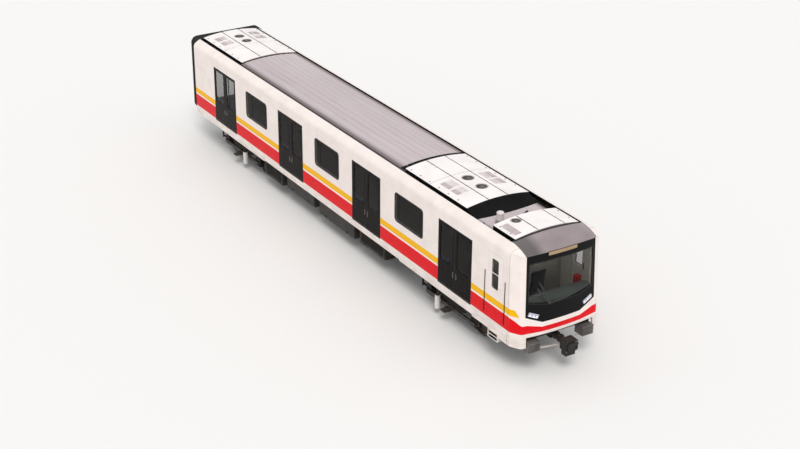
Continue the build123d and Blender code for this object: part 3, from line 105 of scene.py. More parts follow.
@dataclass(frozen=True)
class CarForm:
    """Main places of the car that its fittings share."""

    side_y: float = 1.3697
    floor_z: float = 1.178
    ceiling_z: float = 3.400
    doorways: Row = (-7.24, -2.68, 1.88, 6.44)
    windows: Row = (-4.96, -0.40, 4.16)
    bogies: tuple[tuple[str, float], ...] = (("rear", -6.70), ("front", 5.90))
    axle_reach: float = 1.100
    axle_z: float = 0.453
    coupler_z: float = 0.844
    nose_tip_x: float = 9.366
    nose_tip_z: float = 1.138
    nose_radius: float = 7.5
    nose_lean: float = 2.7
    unit_half: float = 1.0
    unit_edge_z: float = 3.598
    unit_crown_z: float = 3.693
    vault_half: float = 1.035
    vault_edge_z: float = 3.558
    vault_crown_z: float = 3.650

    def front_x(self, y: Array, z: Array) -> Array:
        """The front face: the tip less the plan arc's sagitta and less tan(lean) times the height above the tip."""
        sagitta = self.nose_radius - np.sqrt(self.nose_radius**2 - np.square(y))
        return self.nose_tip_x - sagitta - np.tan(np.radians(self.nose_lean)) * (z - self.nose_tip_z)

    def on_nose(self, surface: Surface) -> Surface:
        """Press a surface on the nose: its x is how far each point stands off the front face."""
        x, y, z = surface.points.T
        return Surface(xyz(x + self.front_x(y, z), y, z), surface.faces)

    @staticmethod
    def arch(y: Array, half: float, edge_z: float, crown_z: float) -> Array:
        """Height of an arc over the car: crown less the sagitta at y of the circle through crown and edges.

        Args:
            y: Places across the car.
            half: Half the arc's width.
            edge_z: Height of the edges.
            crown_z: Height of the crown.

        Returns:
            Height at each place.
        """
        rise = crown_z - edge_z
        radius = (half**2 + rise**2) / (2 * rise)
        return crown_z - radius + np.sqrt(radius**2 - np.square(y))

    def unit_z(self, y: Array) -> Array:
        """Height of the roof units' top at y."""
        return self.arch(y, self.unit_half, self.unit_edge_z, self.unit_crown_z)

    def on_units(self, surface: Surface) -> Surface:
        """Bend a flat surface over the roof units: its z is how far each point stands off their top."""
        x, y, z = surface.points.T
        return Surface(xyz(x, y, z + self.unit_z(y)), surface.faces)


CAR = CarForm()


class Bench:
    """Puts shader nodes together for one material."""

    def __init__(self, name: str) -> None:
        """Start a material with its shader and Object coordinates.

        Args:
            name: Name of the material.
        """
        self.material = bpy.data.materials.new(name)
        self.material.use_nodes = True
        self.tree = self.material.node_tree
        self.shader = self.tree.nodes["Principled BSDF"]
        self.place = self.tree.nodes.new("ShaderNodeTexCoord").outputs["Object"]
        self.split = self.tree.nodes.new("ShaderNodeSeparateXYZ")
        self.tree.links.new(self.place, self.split.inputs[0])

    def put(self, socket: Socket, value: float | Row | Socket) -> None:
        """Link a socket, or set it to a constant.

        Args:
            socket: The input.
            value: What it gets.
        """
        if isinstance(value, bpy.types.NodeSocket):
            self.tree.links.new(value, socket)
        else:
            socket.default_value = value

    def node(self, kind: str, **values: float | Row | Socket) -> bpy.types.Node:
        """A new node with its inputs linked or set, by names with spaces as underscores.

        Args:
            kind: Type of the node.
            **values: The values of its inputs.

        Returns:
            The new node.
        """
        node = self.tree.nodes.new(kind)
        for name, value in values.items():
            self.put(node.inputs[name.replace("_", " ")], value)
        return node

    def axis(self, which: Axis) -> Socket:
        """One coordinate of the point."""
        return self.split.outputs[which.value]

    def away(self) -> Socket:
        """Distance of the point from the middle of the car."""
        return self.math("ABSOLUTE", self.axis(Axis.Y))

    def math(self, how: str, a: float | Socket, b: float | Socket = 0.0) -> Socket:
        """A Math node of two values.

        Args:
            how: The operation.
            a: First value.
            b: Second value.

        Returns:
            The node's result.
        """
        node = self.node("ShaderNodeMath")
        node.operation = how
        self.put(node.inputs[0], a)
        self.put(node.inputs[1], b)
        return node.outputs[0]

    def times(self, a: Socket, b: float | Socket) -> Socket:
        """The product of two values; of two shares, 1 where both are 1."""
        return self.math("MULTIPLY", a, b)

    def plus(self, a: Socket, b: float | Socket) -> Socket:
        """The sum of two values."""
        return self.math("ADD", a, b)

    def over(self, value: Socket, limit: float | Socket) -> Socket:
        """1 where the value is over a limit, else 0."""
        return self.math("GREATER_THAN", value, limit)

    def under(self, value: Socket, limit: float | Socket) -> Socket:
        """1 where the value is under a limit, else 0."""
        return self.math("LESS_THAN", value, limit)

    def between(self, value: Socket, low: float | Socket, high: float | Socket) -> Socket:
        """1 where the value lies between two limits, else 0."""
        return self.times(self.over(value, low), self.under(value, high))

    def spread(self, value: Socket, low: float, high: float, to_low: float = 0.0, to_high: float = 1.0) -> Socket:
        """Map a value from one range to another, clamped."""
        ends = {"From_Min": low, "From_Max": high, "To_Min": to_low, "To_Max": to_high}
        return self.node("ShaderNodeMapRange", Value=value, **ends).outputs[0]

    def noise(self, scale: float, stretch: Row = (1, 1, 1), detail: float = 3.0) -> Socket:
        """Noise of the point, with its axes scaled first."""
        place = self.node("ShaderNodeMapping", Vector=self.place, Scale=stretch).outputs[0]
        return self.node("ShaderNodeTexNoise", Vector=place, Scale=scale, Detail=detail).outputs["Fac"]

    def mix(self, share: float | Socket, first: Triple | Socket, second: Triple | Socket) -> Socket:
        """Mix two colours, each given as a display colour or a socket.

        Args:
            share: Share of the second colour.
            first: Colour at a share of 0.
            second: Colour at a share of 1.

        Returns:
            The mixed colour.
        """
        node = self.node("ShaderNodeMix")
        node.data_type = "RGBA"
        self.put(node.inputs[0], share)
        for socket, colour in ((node.inputs[6], first), (node.inputs[7], second)):
            self.put(socket, colour if isinstance(colour, bpy.types.NodeSocket) else linear(colour))
        return node.outputs[2]

    def bump(self, height: Socket, strength: float, distance: float) -> None:
        """Drive the shader's normal from a height."""
        node = self.node("ShaderNodeBump", Height=height, Strength=strength, Distance=distance)
        self.tree.links.new(node.outputs[0], self.shader.inputs["Normal"])

    def set(self, **values: float | Row | Socket) -> None:
        """Link the shader's own sockets or set plain numbers, by names with spaces as underscores."""
        for name, value in values.items():
            self.put(self.shader.inputs[name.replace("_", " ")], value)


@dataclass(frozen=True)
class Finish:
    """A surface of one substance, mottled, with a fine grain."""

    name: str
    colour: Triple
    worn: Triple
    roughness: float = 0.45
    metallic: float = 0.0
    coat: float = 0.0
    patch: float = 2.5
    stretch: Triple = (1.0, 1.0, 1.0)
    grain: float = 180.0
    depth: float = 0.0004
    sheen: float = 0.0
    gloss: float = 0.5

    def base(self, bench: Bench) -> Socket:
        """The colour: two tones mixed by soft patches."""
        patches = bench.spread(bench.noise(self.patch, self.stretch, 5.0), 0.35, 0.72)
        return bench.mix(patches, self.colour, self.worn)

    def build(self) -> bpy.types.Material:
        """Make the material, its roughness uneven and its grain a fine bump.

        Returns:
            The new material.
        """
        bench = Bench(self.name)
        bench.set(Base_Color=self.base(bench))
        grain = bench.noise(self.grain, self.stretch, 2.0)
        low, high = self.roughness - 0.06, self.roughness + 0.08
        bench.set(Roughness=bench.spread(bench.noise(self.patch * 4, self.stretch), 0.3, 0.7, low, high))
        bench.set(Metallic=self.metallic, Coat_Weight=self.coat, Coat_Roughness=0.12)
        bench.set(Sheen_Weight=self.sheen, Specular_IOR_Level=self.gloss)
        bench.bump(grain, 0.35, self.depth)
        return bench.material


@dataclass(frozen=True)
class LiveryAndTroughShade(Finish):
    """White body paint with a yellow, a thin white and a red band that dip round the nose, and black painted shade in
    the roof's trough.
    """

    yellow: Triple = (0.95, 0.715, 0.03)
    red: Triple = (0.87, 0.035, 0.10)
    dust: Triple = (0.60, 0.54, 0.48)
    seam: Triple = (0.20, 0.18, 0.18)
    inside: Triple = (0.74, 0.73, 0.70)
    # Painted shade: black for the roof's trough beside the units, which lies in shade.
    trough_painted_shade: Triple = (0.05, 0.047, 0.047)
    red_z: Pair = (1.233, 1.648)
    yellow_z: Pair = (1.703, 1.886)
    corner_x: Pair = (8.90, 9.26)
    corner_drop: float = 0.18
    front_x: float = 9.16
    chin_y: Pair = (1.05, 0.60)
    chin_drop: float = 0.123
    chin_low_drop: float = 0.025
    tip_x: Pair = (9.08, 9.20)
    dust_z: Pair = (1.35, 0.95)
    seam_x: float = 8.88
    seam_half: float = 0.004
    inner_y: float = 1.312
    inner_z: float = 3.42
    nose_wall: float = 0.05
    cheek: tuple[float, float, float, float] = (-0.379, -0.098, 1.37, 1.21)
    trough_y: float = 1.116
    trough_x: float = 8.57

    def in_nose(self, bench: Bench, away: Socket) -> Socket:
        """1 deeper than the wall behind the front face and the cheeks, in front of the seam.

        The depth behind the upright front is tip_x - tan(lean) (z - tip_z) - x, less the plan arc's
        sagitta y^2 / (2 radius); the cheeks come in along a straight line over that depth.

        Args:
            bench: The material's nodes.
            away: Distance from the middle of the car.

        Returns:
            1 inside the nose, else 0.
        """
        lean = float(np.tan(np.radians(CAR.nose_lean)))
        level = bench.math("MULTIPLY_ADD", bench.axis(Axis.Z), lean)
        level.node.inputs[2].default_value = -CAR.nose_tip_x - lean * CAR.nose_tip_z
        ahead = bench.plus(bench.axis(Axis.X), level)
        sagitta = bench.times(bench.times(away, away), 0.5 / CAR.nose_radius)
        front = bench.under(bench.plus(ahead, sagitta), -self.nose_wall)
        side = bench.plus(bench.spread(ahead, *self.cheek), -self.nose_wall)
        inner = bench.times(front, bench.under(away, side))
        return bench.times(inner, bench.over(bench.axis(Axis.X), self.seam_x))

    def bands(self, bench: Bench, away: Socket) -> Socket:
        """Bands by height; their edges fall as x passes the corner and as |y| nears the chin.

        Args:
            bench: The material's nodes.
            away: Distance from the middle of the car.

        Returns:
            The banded colour.
        """
        x, z = bench.axis(Axis.X), bench.axis(Axis.Z)
        corner = bench.math("POWER", bench.spread(x, *self.corner_x), 1.5)
        front = bench.over(x, self.front_x)
        chin = bench.times(bench.spread(away, *self.chin_y), front)
        drop = bench.plus(bench.times(corner, self.corner_drop), bench.times(chin, self.chin_drop))
        red_top = bench.math("SUBTRACT", self.red_z[1], drop)
        red_low = bench.math("SUBTRACT", self.red_z[0], bench.times(chin, self.chin_low_drop))
        tip = bench.times(bench.spread(x, *self.tip_x), self.yellow_z[1] - self.yellow_z[0])
        yellow_top = bench.math("SUBTRACT", self.yellow_z[1], tip)
        white = super().base(bench)
        red = bench.mix(bench.between(z, red_low, red_top), white, self.red)
        return bench.mix(bench.between(z, self.yellow_z[0], yellow_top), red, self.yellow)

    def base(self, bench: Bench) -> Socket:
        """The bands with dust low down and the nose's seam, grey inside the car, black painted shade in the roof's
        trough.

        Args:
            bench: The material's nodes.

        Returns:
            The colour.
        """
        x, z = bench.axis(Axis.X), bench.axis(Axis.Z)
        away = bench.away()
        tone = self.bands(bench, away)
        low = bench.spread(z, *self.dust_z)
        clouds = bench.spread(bench.noise(5.0, (0.6, 1, 2.0), 6.0), 0.35, 0.75, 0.0, 0.45)
        tone = bench.mix(bench.times(low, clouds), tone, self.dust)
        seam = bench.between(x, *around(self.seam_x, self.seam_half))
        tone = bench.mix(bench.times(seam, 0.75), tone, self.seam)
        behind = bench.times(bench.under(away, self.inner_y), bench.under(z, self.inner_z))
        saloon = bench.times(behind, bench.under(x, self.seam_x))
        cab = bench.times(self.in_nose(bench, away), bench.under(z, self.inner_z))
        tone = bench.mix(bench.plus(saloon, cab), tone, self.inside)
        # Painted shade: black in the roof's trough beside the units.
        trough_painted_shade = bench.times(bench.under(away, self.trough_y), bench.under(x, self.trough_x))
        return bench.mix(bench.times(trough_painted_shade, bench.over(z, self.inner_z)), tone, self.trough_painted_shade)


@dataclass(frozen=True)
class RoofPaintAndShade(Finish):
    """Roof paint with lengthwise streaks, darker at the gutters, and black painted shade beside the roof units."""

    gutter: Triple = (0.42, 0.375, 0.38)
    gutter_y: Pair = (0.86, 0.98)
    # Painted shade: black for the trough beside the units.
    trough_painted_shade: Triple = (0.05, 0.05, 0.05)
    trough_y: float = 1.0
    trough_z: float = 3.45

    def base(self, bench: Bench) -> Socket:
        """Streaks from noise stretched along X; tone by |y|; black painted shade low down beside the units.

        Args:
            bench: The material's nodes.

        Returns:
            The colour.
        """
        streaks = bench.spread(bench.noise(9.0, (0.05, 1.6, 1.0), 6.0), 0.3, 0.75)
        broad = bench.spread(bench.noise(0.9, (0.35, 1.0, 1.0)), 0.35, 0.7, 0.0, 0.8)
        tone = bench.mix(bench.times(streaks, 0.55), self.colour, self.worn)
        tone = bench.mix(bench.times(broad, 0.5), tone, self.worn)
        away = bench.away()
        tone = bench.mix(bench.times(bench.spread(away, *self.gutter_y), 0.9), tone, self.gutter)
        # Painted shade: black low down beside the units.
        low = bench.under(bench.axis(Axis.Z), self.trough_z)
        return bench.mix(bench.times(bench.over(away, self.trough_y), low), tone, self.trough_painted_shade)


@dataclass(frozen=True)
class Glass(Finish):
    """Tinted glass that lets light through, with faint smears."""

    cover: float = 0.6

    def build(self) -> bpy.types.Material:
        """Make the material, its roughness uneven by soft smears.

        Returns:
            The new material.
        """
        bench = Bench(self.name)
        bench.set(Base_Color=self.base(bench))
        low, high = self.roughness, self.roughness + 0.05
        bench.set(Roughness=bench.spread(bench.noise(3.0, (1, 1, 0.5), 6.0), 0.4, 0.8, low, high))
        bench.set(Alpha=self.cover, IOR=1.46, Specular_IOR_Level=self.gloss)
        return bench.material


@dataclass(frozen=True)
class Glow(Finish):
    """A lit lamp panel with a soft light of its own, also used as painted light where a faint glow brightens the
    headlamps.
    """

    light: float = 0.6

    def build(self) -> bpy.types.Material:
        """Make the material with its colour also given off as light.

        Returns:
            The new material.
        """
        material = super().build()
        shader = material.node_tree.nodes["Principled BSDF"]
        shader.inputs["Emission Color"].default_value = linear(self.colour)
        shader.inputs["Emission Strength"].default_value = self.light
        return material


@dataclass(frozen=True)
class MastPlastic(Finish):
    """Pale mast plastic with a darker base, and black for the small aerial on the other side."""

    foot: Triple = (0.34, 0.31, 0.31)
    foot_z: Pair = (3.51, 3.49)
    black: Triple = (0.06, 0.06, 0.062)

    def base(self, bench: Bench) -> Socket:
        """Pale above the base, mid grey below it, and black left of the middle.

        Args:
            bench: The material's nodes.

        Returns:
            The colour.
        """
        pale = super().base(bench)
        foot = bench.spread(bench.axis(Axis.Z), *self.foot_z)
        dark = bench.mix(bench.times(foot, 0.85), pale, self.foot)
        return bench.mix(bench.over(bench.axis(Axis.Y), 0.0), dark, self.black)


@dataclass(frozen=True)
class UnitPaintAndShade(Finish):
    """White top of the roof units, with painted shade: black sides, dark in their slots and grey down in the fan
    wells.
    """

    # Painted shade: black for the units' sides, which stand in the shaded trough.
    side: Triple = (0.05, 0.047, 0.047)
    side_y: float = 0.992
    side_z: float = 3.590
    # Painted shade: darker tones the deeper a point lies under the top, in slots, fan wells and end faces.
    steps: tuple[tuple[float, Triple], ...] = (
        (0.0035, (0.64, 0.585, 0.60)),
        (0.018, (0.50, 0.465, 0.47)),
        (0.0665, (0.24, 0.225, 0.225)),
    )

    def base(self, bench: Bench) -> Socket:
        """Painted shade: tones darken by depth under the top, which is crown - y^2 / (2 radius) - z; black outside the
        side limit.

        Args:
            bench: The material's nodes.

        Returns:
            The colour.
        """
        y, z = bench.axis(Axis.Y), bench.axis(Axis.Z)
        outside = bench.over(bench.away(), self.side_y)
        low = bench.under(z, self.side_z)
        rise = CAR.unit_crown_z - CAR.unit_edge_z
        drop = bench.times(bench.times(y, y), rise / (CAR.unit_half**2 + rise**2))
        depth = bench.math("SUBTRACT", CAR.unit_crown_z, bench.plus(drop, z))
        tone = super().base(bench)
        for limit, colour in self.steps:
            tone = bench.mix(bench.over(depth, limit), tone, colour)
        return bench.mix(bench.times(outside, low), tone, self.side)


@dataclass(frozen=True)
class FairingPaintAndReflection(Finish):
    """Glossy grey of the roof fairing, with a painted dark reflection towards its right end."""

    # Painted reflection: the darker grey towards the right end stands in for what the gloss reflects there.
    painted_reflection: Triple = (0.31, 0.295, 0.295)
    painted_reflection_y: Pair = (-0.50, -0.78)

    def base(self, bench: Bench) -> Socket:
        """Soft patches, mixed with the painted dark reflection from one y to the other."""
        right = bench.spread(bench.axis(Axis.Y), *self.painted_reflection_y)
        return bench.mix(bench.times(right, 0.8), super().base(bench), self.painted_reflection)


@dataclass(frozen=True)
class ApronPaint(Finish):
    """Grey of the front apron, with its curved lip in a pale tone."""

    pale: Triple = (0.74, 0.70, 0.685)
    lip_z: float = 0.722
    lip_y: float = 0.672

    def base(self, bench: Bench) -> Socket:
        """Pale below the lip's top.

        Args:
            bench: The material's nodes.

        Returns:
            The colour.
        """
        low = bench.under(bench.axis(Axis.Z), self.lip_z)
        middle = bench.under(bench.away(), self.lip_y)
        return bench.mix(bench.times(low, middle), super().base(bench), self.pale)


@dataclass(frozen=True)
class PostPaint(Finish):
    """Collector gear in dark grey, with the round posts beside it in white."""

    white: Triple = (0.86, 0.84, 0.83)
    post_xs: Row = (-6.22, 5.42)
    post_y: float = 1.128
    post_half: float = 0.09

    def base(self, bench: Bench) -> Socket:
        """White where |y| passes the posts' inner side and x lies within their radius.

        Args:
            bench: The material's nodes.

        Returns:
            The colour.
        """
        near = [bench.between(bench.axis(Axis.X), *around(post, self.post_half)) for post in self.post_xs]
        out = bench.over(bench.away(), self.post_y)
        return bench.mix(bench.times(bench.plus(*near), out), super().base(bench), self.white)


# Each finish: name, colour, worn colour, roughness and metallic share.
BODY_WHITE = LiveryAndTroughShade(
    "body_paint", (0.945, 0.905, 0.885), (0.91, 0.87, 0.85), 0.36, coat=0.03, grain=240.0, depth=0.0002, gloss=0.1
)
ROOF = RoofPaintAndShade("roof_paint", (0.80, 0.755, 0.765), (0.68, 0.635, 0.65), 0.62, gloss=0.3)
# The baffle's black, also used as painted shade on the roof's trough sheets and the wide band behind the front unit.
MATT_BLACK = Finish("baffle_paint", (0.045, 0.042, 0.042), (0.075, 0.07, 0.07), 0.8, gloss=0.15)
MASK = Finish("mask_gloss", (0.03, 0.03, 0.036), (0.045, 0.043, 0.048), 0.16, grain=90.0, depth=0.0001, gloss=0.12)
DOOR_BLACK = Finish("door_paint", (0.060, 0.042, 0.045), (0.085, 0.062, 0.062), 0.25, depth=0.0001, gloss=0.05)
SIDE_GLASS = Glass("side_glass", (0.04, 0.028, 0.028), (0.055, 0.04, 0.04), 0.04, cover=0.46, gloss=0.06)
CAB_GLASS = Glass("cab_door_glass", (0.04, 0.03, 0.028), (0.055, 0.042, 0.04), 0.04, cover=0.30, gloss=0.06)
SCREEN_GLASS = Glass("windscreen_glass", (0.05, 0.06, 0.055), (0.07, 0.075, 0.07), 0.03, cover=0.16, gloss=0.2)
LENS_GLASS = Finish("lamp_lens", (0.80, 0.80, 0.86), (0.66, 0.66, 0.73), 0.08, coat=0.5, patch=9.0)
RUBBER = Finish("seal_rubber", (0.055, 0.055, 0.057), (0.10, 0.098, 0.098), 0.68, patch=6.0)
BELLOWS = Finish("bellows_rubber", (0.085, 0.08, 0.08), (0.16, 0.15, 0.145), 0.78, patch=3.0, stretch=(4.0, 1.0, 1.0))
DARK_METAL = Finish(
    "running_gear_paint", (0.11, 0.1, 0.095), (0.2, 0.17, 0.145), 0.72, patch=5.0, grain=120.0, depth=0.0012, gloss=0.3
)
UNDERFRAME = Finish("underframe_paint", (0.12, 0.115, 0.11), (0.19, 0.17, 0.15), 0.62, patch=3.0, gloss=0.3)
BOX_GREY = Finish("equipment_paint", (0.17, 0.165, 0.16), (0.24, 0.22, 0.20), 0.55, patch=2.0, gloss=0.3)
TANK_BLACK = Finish("tank_paint", (0.10, 0.10, 0.10), (0.19, 0.17, 0.15), coat=0.2)
STEEL = Finish("handrail_steel", (0.70, 0.69, 0.67), (0.60, 0.58, 0.56), 0.28, 1.0, grain=400.0, stretch=(1, 1, 0.1))
WHEEL = Finish("wheel_steel", (0.36, 0.31, 0.27), (0.22, 0.17, 0.14), 0.52, 0.85, patch=4.0)
CAST = Finish(
    "coupler_steel", (0.15, 0.145, 0.14), (0.23, 0.215, 0.20), 0.6, 0.2, patch=6.0, grain=70.0, depth=0.002, gloss=0.3
)
PANEL = Finish("interior_panel", (0.74, 0.73, 0.70), (0.68, 0.67, 0.645))
SHELL = Finish("seat_plastic", (0.28, 0.36, 0.50), (0.24, 0.31, 0.44), 0.35, coat=0.2)
DESK = Finish("desk_plastic", (0.30, 0.33, 0.315), (0.25, 0.275, 0.265), 0.55)
FABRIC = Finish("seat_fabric", (0.16, 0.17, 0.20), (0.12, 0.125, 0.15), 0.85, sheen=0.3, grain=700.0, depth=0.001)
WIPER = Finish("wiper_plastic", (0.27, 0.285, 0.27), (0.21, 0.22, 0.21), 0.42, gloss=0.2)
UNIT_PAINT_AND_SHADE = UnitPaintAndShade("roof_unit_paint", (0.965, 0.945, 0.94), (0.925, 0.90, 0.895), patch=2.0, gloss=0.3)
ANTENNA = MastPlastic("antenna_plastic", (0.90, 0.865, 0.86), (0.84, 0.80, 0.79), 0.42)
FAIRING = FairingPaintAndReflection("fairing_paint", (0.60, 0.545, 0.555), (0.50, 0.455, 0.465), 0.28, coat=0.25, patch=1.3)
APRON = ApronPaint("apron_paint", (0.42, 0.40, 0.395), (0.32, 0.305, 0.30), 0.5, patch=4.0, gloss=0.3)
INSULATOR = PostPaint("collector_insulator", (0.20, 0.185, 0.175), (0.29, 0.26, 0.235), 0.6, patch=6.0)
GUTTER_GREY = Finish("gutter_grey", (0.40, 0.36, 0.36), (0.30, 0.27, 0.27), 0.7, patch=2.0, stretch=(0.2, 1.0, 1.0))
UNIT_GREY = Finish("unit_grey", (0.80, 0.77, 0.77), (0.70, 0.67, 0.67))
FAN_GREY = Finish("fan_grey", (0.46, 0.43, 0.43), (0.38, 0.355, 0.355), 0.4, coat=0.2)
GRILLE_MAUVE = Finish("grille_paint", (0.90, 0.85, 0.86), (0.83, 0.78, 0.79), 0.5)
GRILLE_DARK = Finish("grille_backing", (0.66, 0.60, 0.62), (0.58, 0.525, 0.54), 0.7)
ANTENNA_BLACK = Finish("aerial_plastic", (0.06, 0.06, 0.062), (0.10, 0.10, 0.10), 0.4)
GANGWAY_GREY = Finish("gangway_strap", (0.43, 0.39, 0.385), (0.33, 0.30, 0.295), 0.7, patch=3.0)
TREAD = Finish("tread_plate", (0.30, 0.30, 0.30), (0.22, 0.215, 0.21), 0.5, 0.6, grain=300.0)
FRAME_WHITE = Finish("window_frame_white", (0.95, 0.92, 0.90), (0.90, 0.87, 0.85), 0.4)
DISPLAY_TAN = Finish("display_strip", (0.66, 0.56, 0.42), (0.60, 0.51, 0.385), 0.35)
REFLECTOR = Finish("lamp_reflector", (0.93, 0.93, 0.96), (0.85, 0.85, 0.90), 0.15, 0.9)
CAB_LAMP = Glow("cab_lamp_diffuser", (0.96, 0.95, 0.92), (0.93, 0.92, 0.89), 0.3, light=14.0)
# Painted light: a faint glow that brightens the headlamps' domes and light bar in place of reflected light.
LAMP_PAINTED_GLOW = Glow("lamp_white", (0.95, 0.96, 1.0), (0.92, 0.93, 0.98), 0.2, light=0.35)
SALOON_LAMP = Glow("saloon_lamp_diffuser", (0.97, 0.93, 0.87), (0.94, 0.90, 0.84), 0.3, light=7.0)
EDGE_PALE = Finish("pale_edge", (0.80, 0.76, 0.75), (0.72, 0.69, 0.68), 0.4)
DESK_SCREEN = Finish("desk_screen", (0.05, 0.06, 0.065), (0.07, 0.08, 0.085), 0.12, patch=5.0)
STOP_RED = Finish("cab_red", (0.62, 0.08, 0.07), (0.50, 0.07, 0.06), 0.4, coat=0.1)
FLOORING = Finish("floor_cover", (0.36, 0.37, 0.38), (0.30, 0.31, 0.32), 0.7, grain=500.0)

FINISHED_NODES: dict[Finish, str] = {
    BODY_WHITE: "side_wall_right side_wall_left cant_rails nose_shell cab_door_right cab_door_left cab_steps",
    ROOF: "roof_vault roof_wells",
    MATT_BLACK: "roof_baffle",
    UNIT_PAINT_AND_SHADE: "roof_units",
    ANTENNA: "roof_antenna",
    UNDERFRAME: "underframe cross_beams gangway_frame",
    PANEL: "end_wall cab_bulkhead bulkhead_door",
    BELLOWS: "gangway_bellows",
    DARK_METAL: "rear_drawbar bogie_frame_front bogie_frame_rear",
    MASK: "front_mask",
    SCREEN_GLASS: "windscreen",
    FAIRING: "roof_fairing",
    LENS_GLASS: "headlamps",
    WIPER: "wiper",
    APRON: "front_apron",
    DOOR_BLACK: "passenger_doors",
    SIDE_GLASS: "side_glass",
    CAB_GLASS: "cab_door_glass_right cab_door_glass_left",
    RUBBER: "cab_handrails suspension_front suspension_rear",
    SHELL: "seats",
    STEEL: "grab_poles",
    DESK: "driver_desk",
    FABRIC: "driver_seat",
    BOX_GREY: "equipment_boxes traction_motors_front traction_motors_rear",
    TANK_BLACK: "air_tanks",
    CAST: "front_coupler",
    INSULATOR: "collector_gear_front collector_gear_rear",
    WHEEL: "wheelset_1 wheelset_2 wheelset_3 wheelset_4",
}


class Wardrobe:
    """Keeps one material for each finish."""

    def __init__(self) -> None:
        """Start with no materials."""
        self.made: dict[str, bpy.types.Material] = {}

    def get(self, finish: Finish) -> bpy.types.Material:
        """The finish's material, made the first time it is asked for.

        Args:
            finish: The finish.

        Returns:
            The material.
        """
        if finish.name not in self.made:
            self.made[finish.name] = finish.build()
        return self.made[finish.name]

    def dress(self, finished: dict[Finish, str]) -> None:
        """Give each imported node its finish.

        Args:
            finished: Names of the nodes of each finish.
        """
        for finish, names in finished.items():
            for name in names.split():
                mesh = frame["nodes"][name].data
                mesh.materials.clear()
                mesh.materials.append(self.get(finish))
            LOG.info("dressed %s in %s", names, finish.name)


@dataclass
class Surface:
    """Points and faces of one or more closed shapes, in metres."""

    points: Array
    faces: list[list[int]]

    def repeated(self, offsets: Array) -> Surface:
        """Copies of the shape in one surface, one moved by each row of offsets.

        Args:
            offsets: One move a row.

        Returns:
            All the copies.
        """
        offsets = np.asarray(offsets, float).reshape(-1, 3)
        count = len(self.points)
        points = (self.points[None] + offsets[:, None]).reshape(-1, 3)
        faces = [[i + k * count for i in face] for k in range(len(offsets)) for face in self.faces]
        return Surface(points, faces)

    def on_side(self, side: float) -> Surface:
        """The shape itself for a side of 1, its mirror image across the middle of the car for -1."""
        return Surface(self.points * (1.0, side, 1.0), self.faces)

    def both_sides(self) -> Surface:
        """The shape and its mirror image across the middle of the car."""
        return join([self, self.on_side(-1.0)])

    def turned(self, centre: Row, axis: Axis, degrees: float) -> Surface:
        """The shape turned about an axis through a centre: x cos a - y sin a, x sin a + y cos a across it."""
        turn = np.array(Matrix.Rotation(np.radians(degrees), 3, axis.name))
        return Surface((self.points - centre) @ turn.T + centre, self.faces)


Part = tuple[Surface, Finish]


def xyz(x: float | Array, y: float | Array, z: float | Array) -> Array:
    """Points from three coordinates, each one number or many."""
    return np.stack(np.broadcast_arrays(x, y, z), axis=-1)


def around(middle: float, half: float) -> Pair:
    """The limits that lie equally far on both sides of a middle."""
    return (middle - half, middle + half)


def marks(spans: Sequence[Pair], pitch: float, after: float = 0.0, before: float = 0.0) -> Array:
    """Places at an even pitch in each span, from a distance after its start to one before its end."""
    return np.concatenate([np.arange(start + after, end - before, pitch) for start, end in spans])


def join(parts: Sequence[Surface]) -> Surface:
    """Put several surfaces into one.

    Args:
        parts: The surfaces.

    Returns:
        The joined surface.
    """
    starts = np.cumsum([0] + [len(part.points) for part in parts])
    faces = [[i + int(start) for i in face] for part, start in zip(parts, starts) for face in part.faces]
    return Surface(np.concatenate([part.points for part in parts]), faces)


def skin(points: Array, caps: tuple[bool, bool] = (True, True), ring: bool = False) -> Surface:
    """Cover a grid of points whose columns close up: each cell is one face.

    Args:
        points: Rows by columns by three.
        caps: Whether the first and the last row are filled with one face each.
        ring: Whether the last row joins the first one instead.

    Returns:
        The covered surface.
    """
    rows, columns = points.shape[:2]
    index = np.arange(rows * columns).reshape(rows, columns)
    above = np.roll(index, -1, axis=0) if ring else index[1:]
    below = index if ring else index[:-1]
    cells = np.stack((below, np.roll(below, -1, axis=1), np.roll(above, -1, axis=1), above), axis=-1)
    faces = cells.reshape(-1, 4).tolist()
    if not ring:
        faces += [index[end].tolist() for end, cap in zip((0, -1), caps) if cap]
    return Surface(points.reshape(-1, 3), faces)


def place(a: Array, b: Array, along: Array, axis: Axis) -> Array:
    """Points from two coordinates across an axis and one along it, in the order X, Y, Z."""
    return np.roll(xyz(a, b, along), axis.value + 1, axis=-1)


def lathe(profile: Profile, centre: Row, axis: Axis = Axis.Z, steps: int = 32, ring: bool = False) -> Surface:
    """Turn a profile round an axis: centre + radius (cos t, sin t) across the axis + height along it.

    A radius of 0 at an end closes it in a pole, any other gets a flat cap.

    Args:
        profile: Radius and height of each point.
        centre: The point on the axis at height 0.
        axis: The direction of the axis.
        steps: Points round the axis.
        ring: Whether the profile closes up, for a hollow ring.

    Returns:
        The turned surface.
    """
    radius, height = np.asarray(profile, float).T[:, :, None]
    t = np.linspace(0, 2 * np.pi, steps, endpoint=False)
    rows = place(radius * np.cos(t), radius * np.sin(t), height, axis) + np.asarray(centre)
    return skin(rows, (profile[0][0] > 0, profile[-1][0] > 0), ring)


